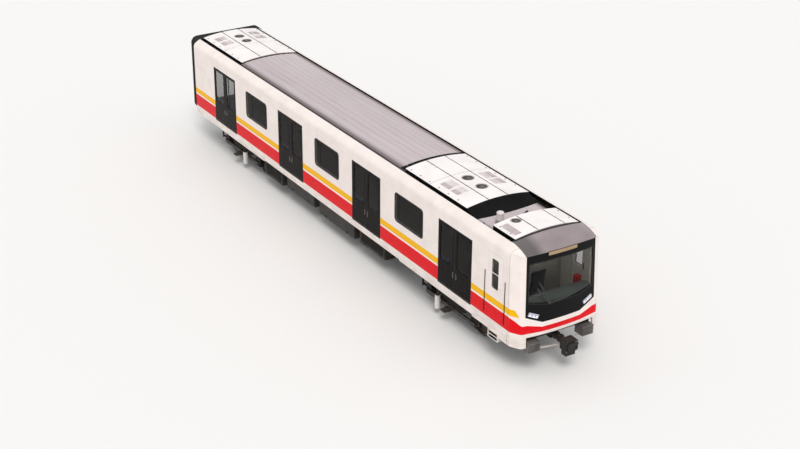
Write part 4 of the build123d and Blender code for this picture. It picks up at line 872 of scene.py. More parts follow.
def rounded(a: Row, b: Row, radius: float, steps: int = 3) -> Array:
    """Outline of a rounded rectangle: each corner's centre + radius (cos t, sin t) over a quarter turn.

    Args:
        a: Lowest and highest first coordinate.
        b: Lowest and highest second coordinate.
        radius: Corner radius.
        steps: Edges in each corner.

    Returns:
        The outline's points, two columns.
    """
    t = np.arange(4)[:, None] * np.pi / 2 + np.linspace(0, np.pi / 2, steps + 1)
    sign = np.array([(1, 1), (-1, 1), (-1, -1), (1, -1)])[:, None]
    middle = np.array((a[0] + a[1], b[0] + b[1])) / 2
    half = np.array((abs(a[1] - a[0]), abs(b[1] - b[0]))) / 2 - radius
    return (middle + sign * half + radius * np.stack((np.cos(t), np.sin(t)), -1)).reshape(-1, 2)


def shrink(outline: Array, by: float) -> Array:
    """Move each edge of an outline inwards: point - by (n1 + n2) / (1 + n1 . n2), from its edges' outward normals.

    Args:
        outline: Points, two columns.
        by: Distance inwards.

    Returns:
        The moved outline.
    """
    edge = np.roll(outline, -1, axis=0) - outline
    area = np.sum(outline[:, 0] * np.roll(outline[:, 1], -1) - outline[:, 1] * np.roll(outline[:, 0], -1))
    after = np.stack((edge[:, 1], -edge[:, 0]), -1) * np.sign(area)
    after /= np.maximum(np.linalg.norm(after, axis=1, keepdims=True), 1e-9)
    before = np.roll(after, 1, axis=0)
    share = 1 + np.sum(before * after, axis=1, keepdims=True)
    return outline - by * (before + after) / np.maximum(share, 0.2)


def slab(outline: Array, along: Row, axis: Axis, edge: float, steps: int = 2) -> Surface:
    """Carry an outline along an axis, with rounded edges: inset edge (1 - sin t), height edge (1 - cos t).

    Args:
        outline: Points across the axis, two columns.
        along: Where the slab starts and ends.
        axis: The direction it is carried in.
        edge: Radius of the rounded edges.
        steps: Faces in each rounded edge.

    Returns:
        The closed slab.
    """
    t = np.linspace(0, np.pi / 2, steps + 1)
    inset, rise = edge * (1 - np.sin(t)), edge * (1 - np.cos(t))
    insets = np.concatenate((inset, inset[::-1]))
    heights = np.concatenate((min(along) + rise, max(along) - rise[::-1]))[:, None]
    shapes = np.stack([shrink(outline, by) for by in insets])
    return skin(place(shapes[..., 0], shapes[..., 1], heights, axis))


def box(x: Row, y: Row, z: Row, edge: float = 0.004) -> Surface:
    """A block with all its edges rounded, by its limits along each axis."""
    return slab(rounded(x, y, edge, 2), z, Axis.Z, edge)


def rim(outer: Array, inner: Array, along: Row, axis: Axis, edge: float = 0.002) -> Surface:
    """A frame between two outlines with as many points, its four edges bevelled.

    Args:
        outer: Outer outline, two columns.
        inner: Inner outline, two columns.
        along: Where the frame starts and ends along the axis.
        axis: The direction across the frame.
        edge: Width of the bevels.

    Returns:
        The closed frame.
    """
    low, high = min(along), max(along)
    heights = np.array((low, low + edge, high - edge, high))
    outer_rows = [shrink(outer, edge), outer, outer, shrink(outer, edge)]
    inner_rows = [shrink(inner, -edge), inner, inner, shrink(inner, -edge)]
    shapes = np.stack(outer_rows + inner_rows)
    levels = np.concatenate((heights, heights[::-1]))[:, None]
    return skin(place(shapes[..., 0], shapes[..., 1], levels, axis), ring=True)


def carry(outline: Array, path: Array, up: Row = (0.0, 0.0, 1.0), ring: bool = False) -> Surface:
    """Carry an outline along a path: path + a (tangent x up) + b ((tangent x up) x tangent).

    Args:
        outline: Points of the section, two columns a and b.
        path: Points of the path, three columns.
        up: A direction that the path never follows.
        ring: Whether the path closes up.

    Returns:
        The closed surface.
    """
    path = np.asarray(path, float)
    ends = (np.roll(path, -1, axis=0), np.roll(path, 1, axis=0))
    tangent = ends[0] - ends[1] if ring else np.gradient(path, axis=0)
    tangent /= np.linalg.norm(tangent, axis=1, keepdims=True)
    side = np.cross(tangent, up)
    side /= np.linalg.norm(side, axis=1, keepdims=True)
    lift = np.cross(side, tangent)
    points = path[:, None] + outline[None, :, :1] * side[:, None] + outline[None, :, 1:] * lift[:, None]
    return skin(points, ring=ring)


def disc(radius: float, steps: int = 10, start: float = 0.0) -> Array:
    """Outline of a circle round the origin, from an angle in radians."""
    t = start + np.linspace(0, 2 * np.pi, steps, endpoint=False)
    return radius * np.stack((np.cos(t), np.sin(t)), axis=-1)


def tube(points: Sequence[Row], radius: float, steps: int = 24, up: Row = (0.0, 0.0, 1.0)) -> Surface:
    """A round pipe along a smooth path: cubic Hermite runs whose slopes join each point's neighbours.

    Args:
        points: What the path passes through.
        radius: Radius of the pipe.
        steps: Points along the path.
        up: A direction that the path never follows.

    Returns:
        The closed pipe.
    """
    knots = np.asarray(points, float)
    slope = np.gradient(knots, axis=0)
    t = np.linspace(0, len(knots) - 1, steps)
    k = np.minimum(t.astype(int), len(knots) - 2)
    s = (t - k)[:, None]
    ends = (2 * s**3 - 3 * s**2 + 1) * knots[k] + (3 * s**2 - 2 * s**3) * knots[k + 1]
    return carry(disc(radius), ends + (s**3 - 2 * s**2 + s) * slope[k] + (s**3 - s**2) * slope[k + 1], up)


def bolts(places: Sequence[Row], radius: float, height: float, axis: Axis) -> Surface:
    """Six-sided bolt heads with a chamfer, one at each place, standing along the axis."""
    profile = [(radius, 0.0), (radius, height * 0.7), (radius * 0.75, height)]
    return lathe(profile, (0, 0, 0), axis, 6).repeated(np.asarray(places))


def bent_plate(a: Row, b: Row, z: Row, edge: float = 0.003, steps: int = 12) -> Array:
    """Rows of sections for a thin plate that is going to be bent: rectangles carried along b.

    Args:
        a: Limits of the first coordinate.
        b: Limits of the second coordinate, along which the plate is divided.
        z: Heights of the underside and of the top.
        edge: Bevel along the plate's edges.
        steps: Divisions along b.

    Returns:
        Grid of a, b and height, one section a row.
    """
    low, high = z
    section = np.array([(a[0], low), (a[0], high - edge), (a[0] + edge, high)])
    section = np.concatenate((section, np.array([(a[1] - edge, high), (a[1], high - edge), (a[1], low)])))
    run = np.linspace(b[0], b[1], steps + 1)
    run = np.concatenate(([run[0]], run, [run[-1]]))
    drop = np.zeros(len(run))
    drop[[0, -1]] = edge
    run[[1, -2]] += (edge, -edge)
    return xyz(section[:, 0], run[:, None], np.minimum(section[:, 1], high - drop[:, None]))


def filleted(corners: Sequence[Row], radius: float, count: int = 160) -> Array:
    """Round a polygon's corners and divide it evenly.

    Each corner becomes (1-t)^2 start + 2t(1-t) corner + t^2 end; the outline then goes on in steps of equal length.

    Args:
        corners: The polygon's corners, two columns.
        radius: Radius of the rounded corners.
        count: Points of the outline.

    Returns:
        The evenly divided outline.
    """
    p = np.asarray(corners, float)
    back, ahead = (np.roll(p, shift, axis=0) - p for shift in (1, -1))
    back /= np.linalg.norm(back, axis=1, keepdims=True)
    ahead /= np.linalg.norm(ahead, axis=1, keepdims=True)
    half = np.arccos(np.clip(np.sum(back * ahead, axis=1, keepdims=True), -1, 1)) / 2
    reach = radius / np.tan(half)
    t = np.linspace(0, 1, 7)[None, :, None]
    start, end = (p + back * reach)[:, None], (p + ahead * reach)[:, None]
    points = ((1 - t) ** 2 * start + 2 * t * (1 - t) * p[:, None] + t**2 * end).reshape(-1, 2)
    closed = np.concatenate((points, points[:1]))
    length = np.concatenate(([0], np.cumsum(np.linalg.norm(np.diff(closed, axis=0), axis=1))))
    spots = np.linspace(0, length[-1], count, endpoint=False)
    return np.stack([np.interp(spots, length, closed[:, k]) for k in range(2)], axis=-1)


def corners_of(a: Row, b: Row) -> list[Pair]:
    """The four corners of a rectangle, by its limits."""
    return [(a[0], b[0]), (a[1], b[0]), (a[1], b[1]), (a[0], b[1])]


class Workshop:
    """Makes pieces of surfaces, each riding on a body of the model."""

    def __init__(self, wardrobe: Wardrobe) -> None:
        """Keep the wardrobe that dresses the pieces."""
        self.wardrobe = wardrobe

    def piece(self, name: str, *parts: Part, body: str = "car_body", smooth: float = 38.0) -> bpy.types.Object:
        """Make one object, its normals outwards and its sharp edges kept.

        Args:
            name: Name of the piece.
            *parts: Each surface with its finish.
            body: Body of the model that it moves with.
            smooth: Edges that turn by more degrees than this stay sharp.

        Returns:
            The new object.
        """
        whole = join([surface for surface, _ in parts])
        mesh = bpy.data.meshes.new(name)
        mesh.from_pydata(whole.points.tolist(), [], whole.faces)
        finishes = list(dict.fromkeys(finish for _, finish in parts))
        for finish in finishes:
            mesh.materials.append(self.wardrobe.get(finish))
        slots = np.concatenate([np.full(len(s.faces), finishes.index(f)) for s, f in parts])
        mesh.polygons.foreach_set("material_index", slots.astype(np.int32))
        work = bmesh.new()
        work.from_mesh(mesh)
        bmesh.ops.remove_doubles(work, verts=work.verts, dist=2e-6)
        bmesh.ops.recalc_face_normals(work, faces=work.faces)
        work.to_mesh(mesh)
        work.free()
        mesh.polygons.foreach_set("use_smooth", np.ones(len(mesh.polygons), bool))
        mesh.set_sharp_from_angle(angle=float(np.radians(smooth)))
        piece = bpy.data.objects.new(name, mesh)
        bpy.context.scene.collection.objects.link(piece)
        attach(piece, body)
        LOG.info("%s: %d faces on %s", name, len(mesh.polygons), body)
        return piece


@dataclass
class RoofTrim:
    """Rubber seams, gutter strips, black sheets of painted shade in the troughs and clips on the vault and beside the
    roof units, with the front seam widened into painted shadow.
    """

    # The rear band is a rubber seam; the front one is widened into painted shadow behind the front unit's step.
    seams: tuple[Pair, ...] = ((-6.606, 0.022), (3.302, 0.094))
    seam_z: Pair = (-0.006, 0.0095)
    gutter_x: Pair = (-6.63, 3.40)
    gutter_y: Pair = (1.039, 1.106)
    gutter_z: Pair = (3.4905, 3.4985)
    # Painted shade: black sheets lie in the troughs beside the units, where shade falls.
    trough_xs: tuple[Pair, ...] = ((-9.54, -6.64), (3.41, 8.56))
    trough_y: Pair = (1.003, 1.107)
    trough_z: Pair = (3.4285, 3.438)
    clip_pitch: float = 0.58
    clip_size: Triple = (0.05, 0.085, 0.075)

    def arched_seam(self, x: float, half: float) -> Surface:
        """A low black band over the vault, a rubber seam where narrow and painted shadow where wide: a section carried
        across the car at the arc's height.

        Args:
            x: Middle of the band along the car.
            half: Half its width.

        Returns:
            The band.
        """
        y = np.linspace(-CAR.vault_half, CAR.vault_half, 40)
        z = CAR.arch(y, CAR.vault_half, CAR.vault_edge_z, CAR.vault_crown_z)
        return carry(rounded((-half, half), self.seam_z, 0.005, 2), xyz(x, y, z))

    def clips(self) -> Surface:
        """Brackets that hold the units' edges, one each clip pitch along the troughs.

        Returns:
            The clips of both sides.
        """
        length, depth, height = self.clip_size
        y, z = self.trough_y[0], self.trough_z[1]
        foot = box((0, length), (y + 0.004, y + depth), (z - 0.002, z + 0.010), 0.002)
        post = box((0.004, length - 0.004), (y + 0.003, y + 0.016), (z, z + height), 0.003)
        starts = marks(self.trough_xs, self.clip_pitch, 0.3, 0.1)
        return join([foot, post]).repeated(xyz(starts, 0, 0)).both_sides()

    def build(self, shop: Workshop) -> None:
        """Make the roof's seams, strips and clips.

        Args:
            shop: Makes the pieces.
        """
        # The wide front band is painted shadow.
        shop.piece("roof_seams", (join([self.arched_seam(*seam) for seam in self.seams]), MATT_BLACK))
        gutters = box(self.gutter_x, self.gutter_y, self.gutter_z, 0.003).both_sides()
        # The trough sheets are painted shade.
        trough_shade_sheets = join([box(x, self.trough_y, self.trough_z, 0.002) for x in self.trough_xs]).both_sides()
        shop.piece("roof_gutter_strips", (gutters, GUTTER_GREY), (trough_shade_sheets, MATT_BLACK))
        shop.piece("roof_clips", (self.clips(), DARK_METAL))


@dataclass
class RoofUnits:
    """Seams, screws, grille slats and fan guards of the three roof units."""

    spans: tuple[Pair, ...] = ((-9.52, -6.63), (3.40, 6.42), (7.60, 8.56))
    seams: tuple[Pair, ...] = ((-0.31, 0.31), (-0.31, 0.31), (-0.28, 0.56))
    cross_xs: Row = (-7.95, 4.62)
    seam_half: float = 0.0059
    seam_z: Pair = (-0.0048, -0.002)
    cover_half: float = 0.013
    cover_z: Pair = (-0.0022, 0.0014)
    big_fan_xs: Row = (-8.794, -8.256, 4.995, 5.647)
    big_fan_radius: float = 0.190
    cab_fan: Triple = (7.815, -0.441, 0.152)
    grille_xs: tuple[Pair, ...] = ((-9.12, -8.76), (-8.66, -8.30), (4.80, 5.27), (5.32, 5.70))
    grille_ys: tuple[Pair, ...] = ((-0.80, -0.44), (0.44, 0.80))
    cab_grille: tuple[Pair, Pair] = ((7.78, 8.42), (-0.90, -0.70))
    slat_pitch: float = 0.040
    slat_tilt: float = -13.0
    slat_half: float = 0.0115
    slot_half: float = 0.0075
    ring_shares: Row = (0.22, 0.38, 0.54, 0.70, 0.86)
    ring_wire: float = 0.0028
    spoke_wire: float = 0.0038
    spokes: int = 6
    shroud: Profile = ((0.81, -0.005), (0.81, 0.002), (1.004, 0.004), (1.004, -0.003))
    fan_clearance: float = 0.04
    screw_pitch: float = 0.24
    screw_y: float = 0.955
    latch_pitch: float = 0.46
    latch_y: float = 0.925
    latch: Profile = ((0.0, -0.002), (0.020, -0.002), (0.020, 0.004), (0.015, 0.008), (0.0, 0.009))
    badge: Profile = ((0.0, -0.004), (0.034, -0.004), (0.034, 0.002), (0.028, 0.005), (0.0, 0.006))

    def fans(self) -> list[Triple]:
        """Place and radius of each fan."""
        return [(x, 0.0, self.big_fan_radius) for x in self.big_fan_xs] + [self.cab_fan]

    def lengthwise_seam(self, span: Pair, y: float) -> Surface:
        """A dark seal in the joint along a unit, with a low cover over it.

        Args:
            span: Ends of the unit.
            y: Place across the car.

        Returns:
            The seal with its cover.
        """
        run = (span[0] + 0.01, span[1] - 0.01)
        fill = box(run, around(y, self.seam_half), self.seam_z, 0.0008)
        return CAR.on_units(join([fill, box(run, around(y, self.cover_half), self.cover_z, 0.0008)]))

    def cross_seam(self, x: float) -> Surface:
        """A dark seal in the joint across a unit, bent over its arc."""
        width = around(0.0, CAR.unit_half - 0.02)
        return CAR.on_units(skin(bent_plate(around(x, self.seam_half), width, self.seam_z, 0.0008, 20)))

    def grille(self, x: Pair, y: Pair) -> tuple[Surface, Surface]:
        """A grille patch: a low frame, slats tilted on the lands between its slots, and a mesh in the slots.

        Args:
            x: Its limits along the car.
            y: Its limits across the car.

        Returns:
            The frame with its slats, and the dark strips down in the slots.
        """
        edge = rounded((x[0] - 0.003, x[1] + 0.003), (y[0] - 0.010, y[1] + 0.010), 0.014)
        border = rim(edge, shrink(edge, 0.012), (-0.003, 0.005), Axis.Z, 0.0015)
        count = int((x[1] - x[0]) / self.slat_pitch + 1e-6)
        slots = (x[0] + x[1]) / 2 + (np.arange(count) - (count - 1) / 2) * self.slat_pitch
        across = (y[0] + 0.004, y[1] - 0.004)
        slat = skin(bent_plate(around(0.0, self.slat_half), across, (-0.001, 0.0015), 0.001, 6))
        slat = slat.turned((0, 0, 0), Axis.Y, self.slat_tilt)
        slats = slat.repeated(xyz(slots[:-1] + self.slat_pitch / 2, 0, 0.0032))
        strip = skin(bent_plate(around(0.0, self.slot_half), across, (-0.0088, -0.0070), 0.0008, 6))
        return CAR.on_units(join([border, slats])), CAR.on_units(strip.repeated(xyz(slots, 0, 0)))

    def guard(self, x: float, y: float, radius: float) -> list[Part]:
        """A fan's guard: rings and spokes just under the well's lip, inside a pale shroud set into its wall.

        Args:
            x: Centre along the car.
            y: Centre across the car.
            radius: Radius of the well.

        Returns:
            The guard and its shroud, with their finishes.
        """
        centre = (x, y, float(CAR.unit_z(y)) - 0.002)
        circles = [disc(share * radius, 40).T for share in self.ring_shares]
        rings = [carry(disc(self.ring_wire, 6), xyz(x + a, y + b, centre[2]), ring=True) for a, b in circles]
        spoke = carry(disc(self.spoke_wire, 6), xyz(np.linspace(0.06, 1.005, 4) * radius, 0, 0)).repeated([centre])
        spokes = [spoke.turned((x, y, 0), Axis.Z, k * 360.0 / self.spokes) for k in range(self.spokes)]
        shroud = [(share * radius, height) for share, height in self.shroud]
        grid = join([*rings, lathe(self.badge, centre, Axis.Z, 24), *spokes])
        return [(grid, FAN_GREY), (lathe(shroud, centre, Axis.Z, 48, True), UNIT_GREY)]

    def screws(self) -> Surface:
        """Screw heads along the units' edges and beside their seams, clear of the fans.

        Returns:
            The screw heads.
        """
        places = []
        for span, seams in zip(self.spans, self.seams):
            along = marks([span], self.screw_pitch, 0.08, 0.05)
            for y in (-self.screw_y, self.screw_y, *(s + d for s in seams for d in (-0.035, 0.035))):
                places.append(xyz(along, y, CAR.unit_z(y)))
        spots = np.concatenate(places)
        clear = [np.hypot(spots[:, 0] - x, spots[:, 1] - y) > r + self.fan_clearance for x, y, r in self.fans()]
        return bolts(spots[np.all(clear, axis=0)], 0.0085, 0.004, Axis.Z)

    def latches(self) -> Surface:
        """Round black latches along both edges of the units' tops."""
        spots = xyz(marks(self.spans, self.latch_pitch, 0.20, 0.1), self.latch_y, CAR.unit_z(self.latch_y))
        return lathe(self.latch, (0, 0, 0), Axis.Z, 14).repeated(spots).both_sides()

    def build(self, shop: Workshop) -> None:
        """Make the units' seams, screws, latches, grilles and fan guards.

        Args:
            shop: Makes the pieces.
        """
        lines = [self.lengthwise_seam(span, y) for span, ys in zip(self.spans, self.seams) for y in ys]
        shop.piece("roof_unit_seams", (join(lines + [self.cross_seam(x) for x in self.cross_xs]), RUBBER))
        shop.piece("roof_unit_screws", (self.screws(), STEEL), (self.latches(), RUBBER))
        patches = [(x, y) for y in self.grille_ys for x in self.grille_xs] + [self.cab_grille]
        slats, strips = zip(*(self.grille(*patch) for patch in patches))
        shop.piece("roof_unit_grilles", (join(slats), GRILLE_MAUVE), (join(strips), GRILLE_DARK))
        for number, fan in enumerate(self.fans(), 1):
            shop.piece(f"roof_fan_guard_{number}", *self.guard(*fan))


@dataclass
class Antennas:
    """Collar, band and bolts of the mast, and the foot of the small aerial."""

    mast: Pair = (7.275, -0.545)
    aerial: Pair = (7.233, 0.354)
    base_z: float = 3.428
    collar: Profile = ((0.1055, 0.0195), (0.116, 0.0195), (0.116, 0.028), (0.1055, 0.036))
    band: Profile = ((0.096, 0.232), (0.101, 0.234), (0.101, 0.244), (0.096, 0.246))
    bolt_ring: float = 0.1225
    foot_half: Pair = (0.095, 0.065)
    foot_inset: float = 0.010

    def build(self, shop: Workshop) -> None:
        """Make the mast's collar and band with its bolts, and the aerial's foot plate.

        Args:
            shop: Makes the pieces.
        """
        x, y = self.mast
        rings = [(lathe(ring, (x, y, self.base_z), ring=True), UNIT_GREY) for ring in (self.collar, self.band)]
        a, b = disc(self.bolt_ring, 8).T
        heads = bolts(xyz(x + a, y + b, self.base_z + self.collar[0][1]), 0.006, 0.006, Axis.Z)
        shop.piece("mast_collar", *rings, (heads, STEEL))
        x, y = self.aerial
        a, b = self.foot_half
        foot = box(around(x, a), around(y, b), (self.base_z, self.base_z + 0.012), 0.004)
        ys = around(y, b - self.foot_inset)
        spots = [(px, py, self.base_z + 0.0115) for px in around(x, a - self.foot_inset) for py in ys]
        shop.piece("aerial_foot", (foot, ANTENNA_BLACK), (bolts(spots, 0.006, 0.004, Axis.Z), STEEL))


@dataclass
class Gangway:
    """Straps round the bellows, the face's gasket and the threshold plate."""

    face_x: float = -9.900
    body_x: float = -9.550
    half: float = 1.300
    z: Pair = (0.988, 3.588)
    corner: float = 0.220
    strap_xs: Pair = (-9.782, -9.608)
    strap_inset: float = 0.026
    gasket_rings: tuple[Pair, Pair] = ((0.02, 0.20), (0.08, 0.16))
    passage_half: float = 0.780
    passage_z: float = 1.178
    rib_half_y: float = 0.69
    rib_pitch: float = 0.06

    def strap(self, x: float) -> Surface:
        """A band round the bellows: a frame between two insets of their rounded outline.

        Args:
            x: Middle of the band along the car.

        Returns:
            The band.
        """
        outline = rounded((-self.half, self.half), self.z, self.corner, 8)
        outer, inner = shrink(outline, self.strap_inset - 0.001), shrink(outline, self.strap_inset + 0.010)
        return rim(outer, inner, around(x, 0.011), Axis.X, 0.001)

    def face(self, inset: float, radius: float) -> Array:
        """An outline on the face, drawn in by an inset, with its own corner radius."""
        return rounded(around(0.0, self.half - inset), (self.z[0] + inset, self.z[1] - inset), radius, 8)

    def build(self, shop: Workshop) -> None:
        """Make the pale straps, the gasket and the threshold.

        Args:
            shop: Makes the pieces.
        """
        shop.piece("gangway_straps", (join([self.strap(x) for x in self.strap_xs]), GANGWAY_GREY))
        outer, inner = (self.face(inset, radius) for inset, radius in self.gasket_rings)
        gasket = rim(outer, inner, (self.face_x + 0.0005, self.face_x + 0.02), Axis.X, 0.004)
        shop.piece("gangway_gasket", (gasket, RUBBER))
        x = (self.face_x + 0.01, self.body_x + 0.06)
        low = self.passage_z
        plate = box(x, around(0.0, self.passage_half - 0.03), (low, low + 0.012), 0.004)
        rib = box((x[0] + 0.03, x[1] - 0.03), around(0.0, 0.004), (low + 0.012, low + 0.016), 0.0015)
        ribs = rib.repeated(xyz(0, np.arange(-self.rib_half_y, self.rib_half_y + 0.01, self.rib_pitch), 0))
        shop.piece("gangway_threshold", (plate, TREAD), (ribs, STEEL))


def side_outline(x: Row, z: Row, radius: float, steps: int = 3) -> Array:
    """Outline of a rounded rectangle seen from the side of the car, for a shape carried along Y."""
    return rounded(z, x, radius, steps)


@dataclass
class SideTrim:
    """Seals, pane borders, sill plates and window rubbers of the passenger doors and windows."""

    door_half: float = 0.792
    door_z: Pair = (1.193, 3.094)
    door_seal: float = 0.020
    lip_width: float = 0.010
    leaf_y: float = 1.3665
    pane_inset: float = 0.085
    pane_z: Pair = (1.928, 3.013)
    pane_radius: float = 0.060
    pane_border: float = 0.016
    glass_y: float = 1.3635
    window_half: float = 0.735
    window_z: Pair = (2.111, 3.008)
    window_radius: float = 0.120
    window_rubber: float = 0.034
    sill_y: float = 1.329
    cup_reach: float = 0.075
    cup_half: float = 0.018
    cup_z: Pair = (1.62, 1.78)
    kick_z: Pair = (1.232, 1.236)

    def doorway_seal(self, x: float) -> Surface:
        """The rubber frame of one doorway and the pair of seals where its leaves meet.

        Args:
            x: Middle of the doorway.

        Returns:
            The frame and the seals.
        """
        outer = side_outline(around(x, self.door_half - 0.0005), self.door_z, 0.012)
        seal = rim(outer, shrink(outer, self.door_seal), (self.leaf_y - 0.004, CAR.side_y), Axis.Y, 0.001)
        y, z = (self.leaf_y - 0.006, CAR.side_y), (self.door_z[0] + 0.02, self.door_z[1] - 0.02)
        lips = [box((x + s, x + s + self.lip_width), y, z, 0.002) for s in (-0.0105, 0.0005)]
        return join([seal, *lips])

    def pane_borders(self, x: float) -> Surface:
        """The raised borders of one doorway's two panes.

        Args:
            x: Middle of the doorway.

        Returns:
            Both borders.
        """
        parts = []
        for low, high in ((-self.door_half, -0.004), (0.004, self.door_half)):
            run = (x + low + self.pane_inset, x + high - self.pane_inset)
            pane = side_outline(run, self.pane_z, self.pane_radius, 5)
            inner = shrink(pane, self.pane_border)
            parts.append(rim(pane, inner, (self.glass_y - 0.004, self.leaf_y + 0.001), Axis.Y, 0.001))
        return join(parts)

    def door_fittings(self, x: float) -> Surface:
        """The sill plate, two flush pull cups and the kick strip of one doorway.

        Args:
            x: Middle of the doorway.

        Returns:
            The fittings.
        """
        low = self.door_z[0]
        parts = [box(around(x, self.door_half - 0.02), (self.sill_y, CAR.side_y), (low, low + 0.006), 0.0015)]
        for side in RIGHT_AND_LEFT:
            cup = side_outline(around(x + side * self.cup_reach, self.cup_half), self.cup_z, 0.016, 4)
            parts.append(rim(cup, shrink(cup, 0.006), (self.leaf_y - 0.001, CAR.side_y - 0.0005), Axis.Y, 0.001))
        y = (self.leaf_y - 0.001, CAR.side_y - 0.001)
        return join([*parts, box(around(x, self.door_half - 0.04), y, self.kick_z, 0.0012)])

    def window_frame(self, x: float) -> Surface:
        """The rubber frame of one window, flush with the side."""
        outer = side_outline(around(x, self.window_half), self.window_z, self.window_radius, 8)
        return rim(outer, shrink(outer, self.window_rubber), (self.glass_y - 0.004, CAR.side_y), Axis.Y, 0.002)

    def build(self, shop: Workshop) -> None:
        """Make the trim of every doorway and window on both sides.

        Args:
            shop: Makes the pieces.
        """
        for name, form, xs, finish in (
            ("door_seals", self.doorway_seal, CAR.doorways, RUBBER),
            ("door_pane_borders", self.pane_borders, CAR.doorways, DOOR_BLACK),
            ("door_fittings", self.door_fittings, CAR.doorways, STEEL),
            ("window_rubbers", self.window_frame, CAR.windows, RUBBER),
        ):
            shop.piece(name, (join([form(x) for x in xs]).both_sides(), finish))


@dataclass
class CabDoors:
    """Window frame, sash bar, seal and inner handle of each cab door."""

    window_x: Pair = (8.110, 8.440)
    window_z: Pair = (2.133, 3.013)
    window_radius: float = 0.070
    frame_width: float = 0.024
    seal_width: float = 0.008
    seat_y: float = 1.3600
    bar_z: Pair = (2.575, 2.598)
    handle: Triple = (8.510, 1.310, 2.208)
    lever: tuple[Triple, ...] = ((0, -0.004, 0), (0, -0.03, 0), (-0.03, -0.034, 0), (-0.09, -0.034, -0.004))

    def fittings(self) -> list[Part]:
        """The left door's pale window frame and bar, its seal, and its inner handle on a plate.

        Returns:
            Surfaces with their finishes.
        """
        outer = side_outline(self.window_x, self.window_z, self.window_radius, 6)
        inner = shrink(outer, self.frame_width)
        frame = rim(outer, inner, (self.seat_y, CAR.side_y), Axis.Y, 0.0025)
        run = (self.window_x[0] + 0.02, self.window_x[1] - 0.02)
        bar = box(run, (self.seat_y + 0.0015, CAR.side_y - 0.001), self.bar_z, 0.003)
        seal = rim(inner, shrink(inner, self.seal_width), (self.seat_y, self.seat_y + 0.007), Axis.Y, 0.001)
        x, y, z = self.handle
        plate = box(around(x, 0.03), (y - 0.008, y + 0.001), around(z, 0.10), 0.003)
        lever = tube(np.add(self.lever, self.handle), 0.007, 16)
        return [(join([frame, bar]), FRAME_WHITE), (seal, RUBBER), (join([plate, lever]), STEEL)]

    def build(self, shop: Workshop) -> None:
        """Make the fittings of the right and of the left door, each on its own body.

        Args:
            shop: Makes the pieces.
        """
        for name, side in zip("rl", RIGHT_AND_LEFT):
            parts = [(surface.on_side(side), finish) for surface, finish in self.fittings()]
            shop.piece(f"cab_door_fittings_{name}", *parts, body=f"cab_door_{name}")


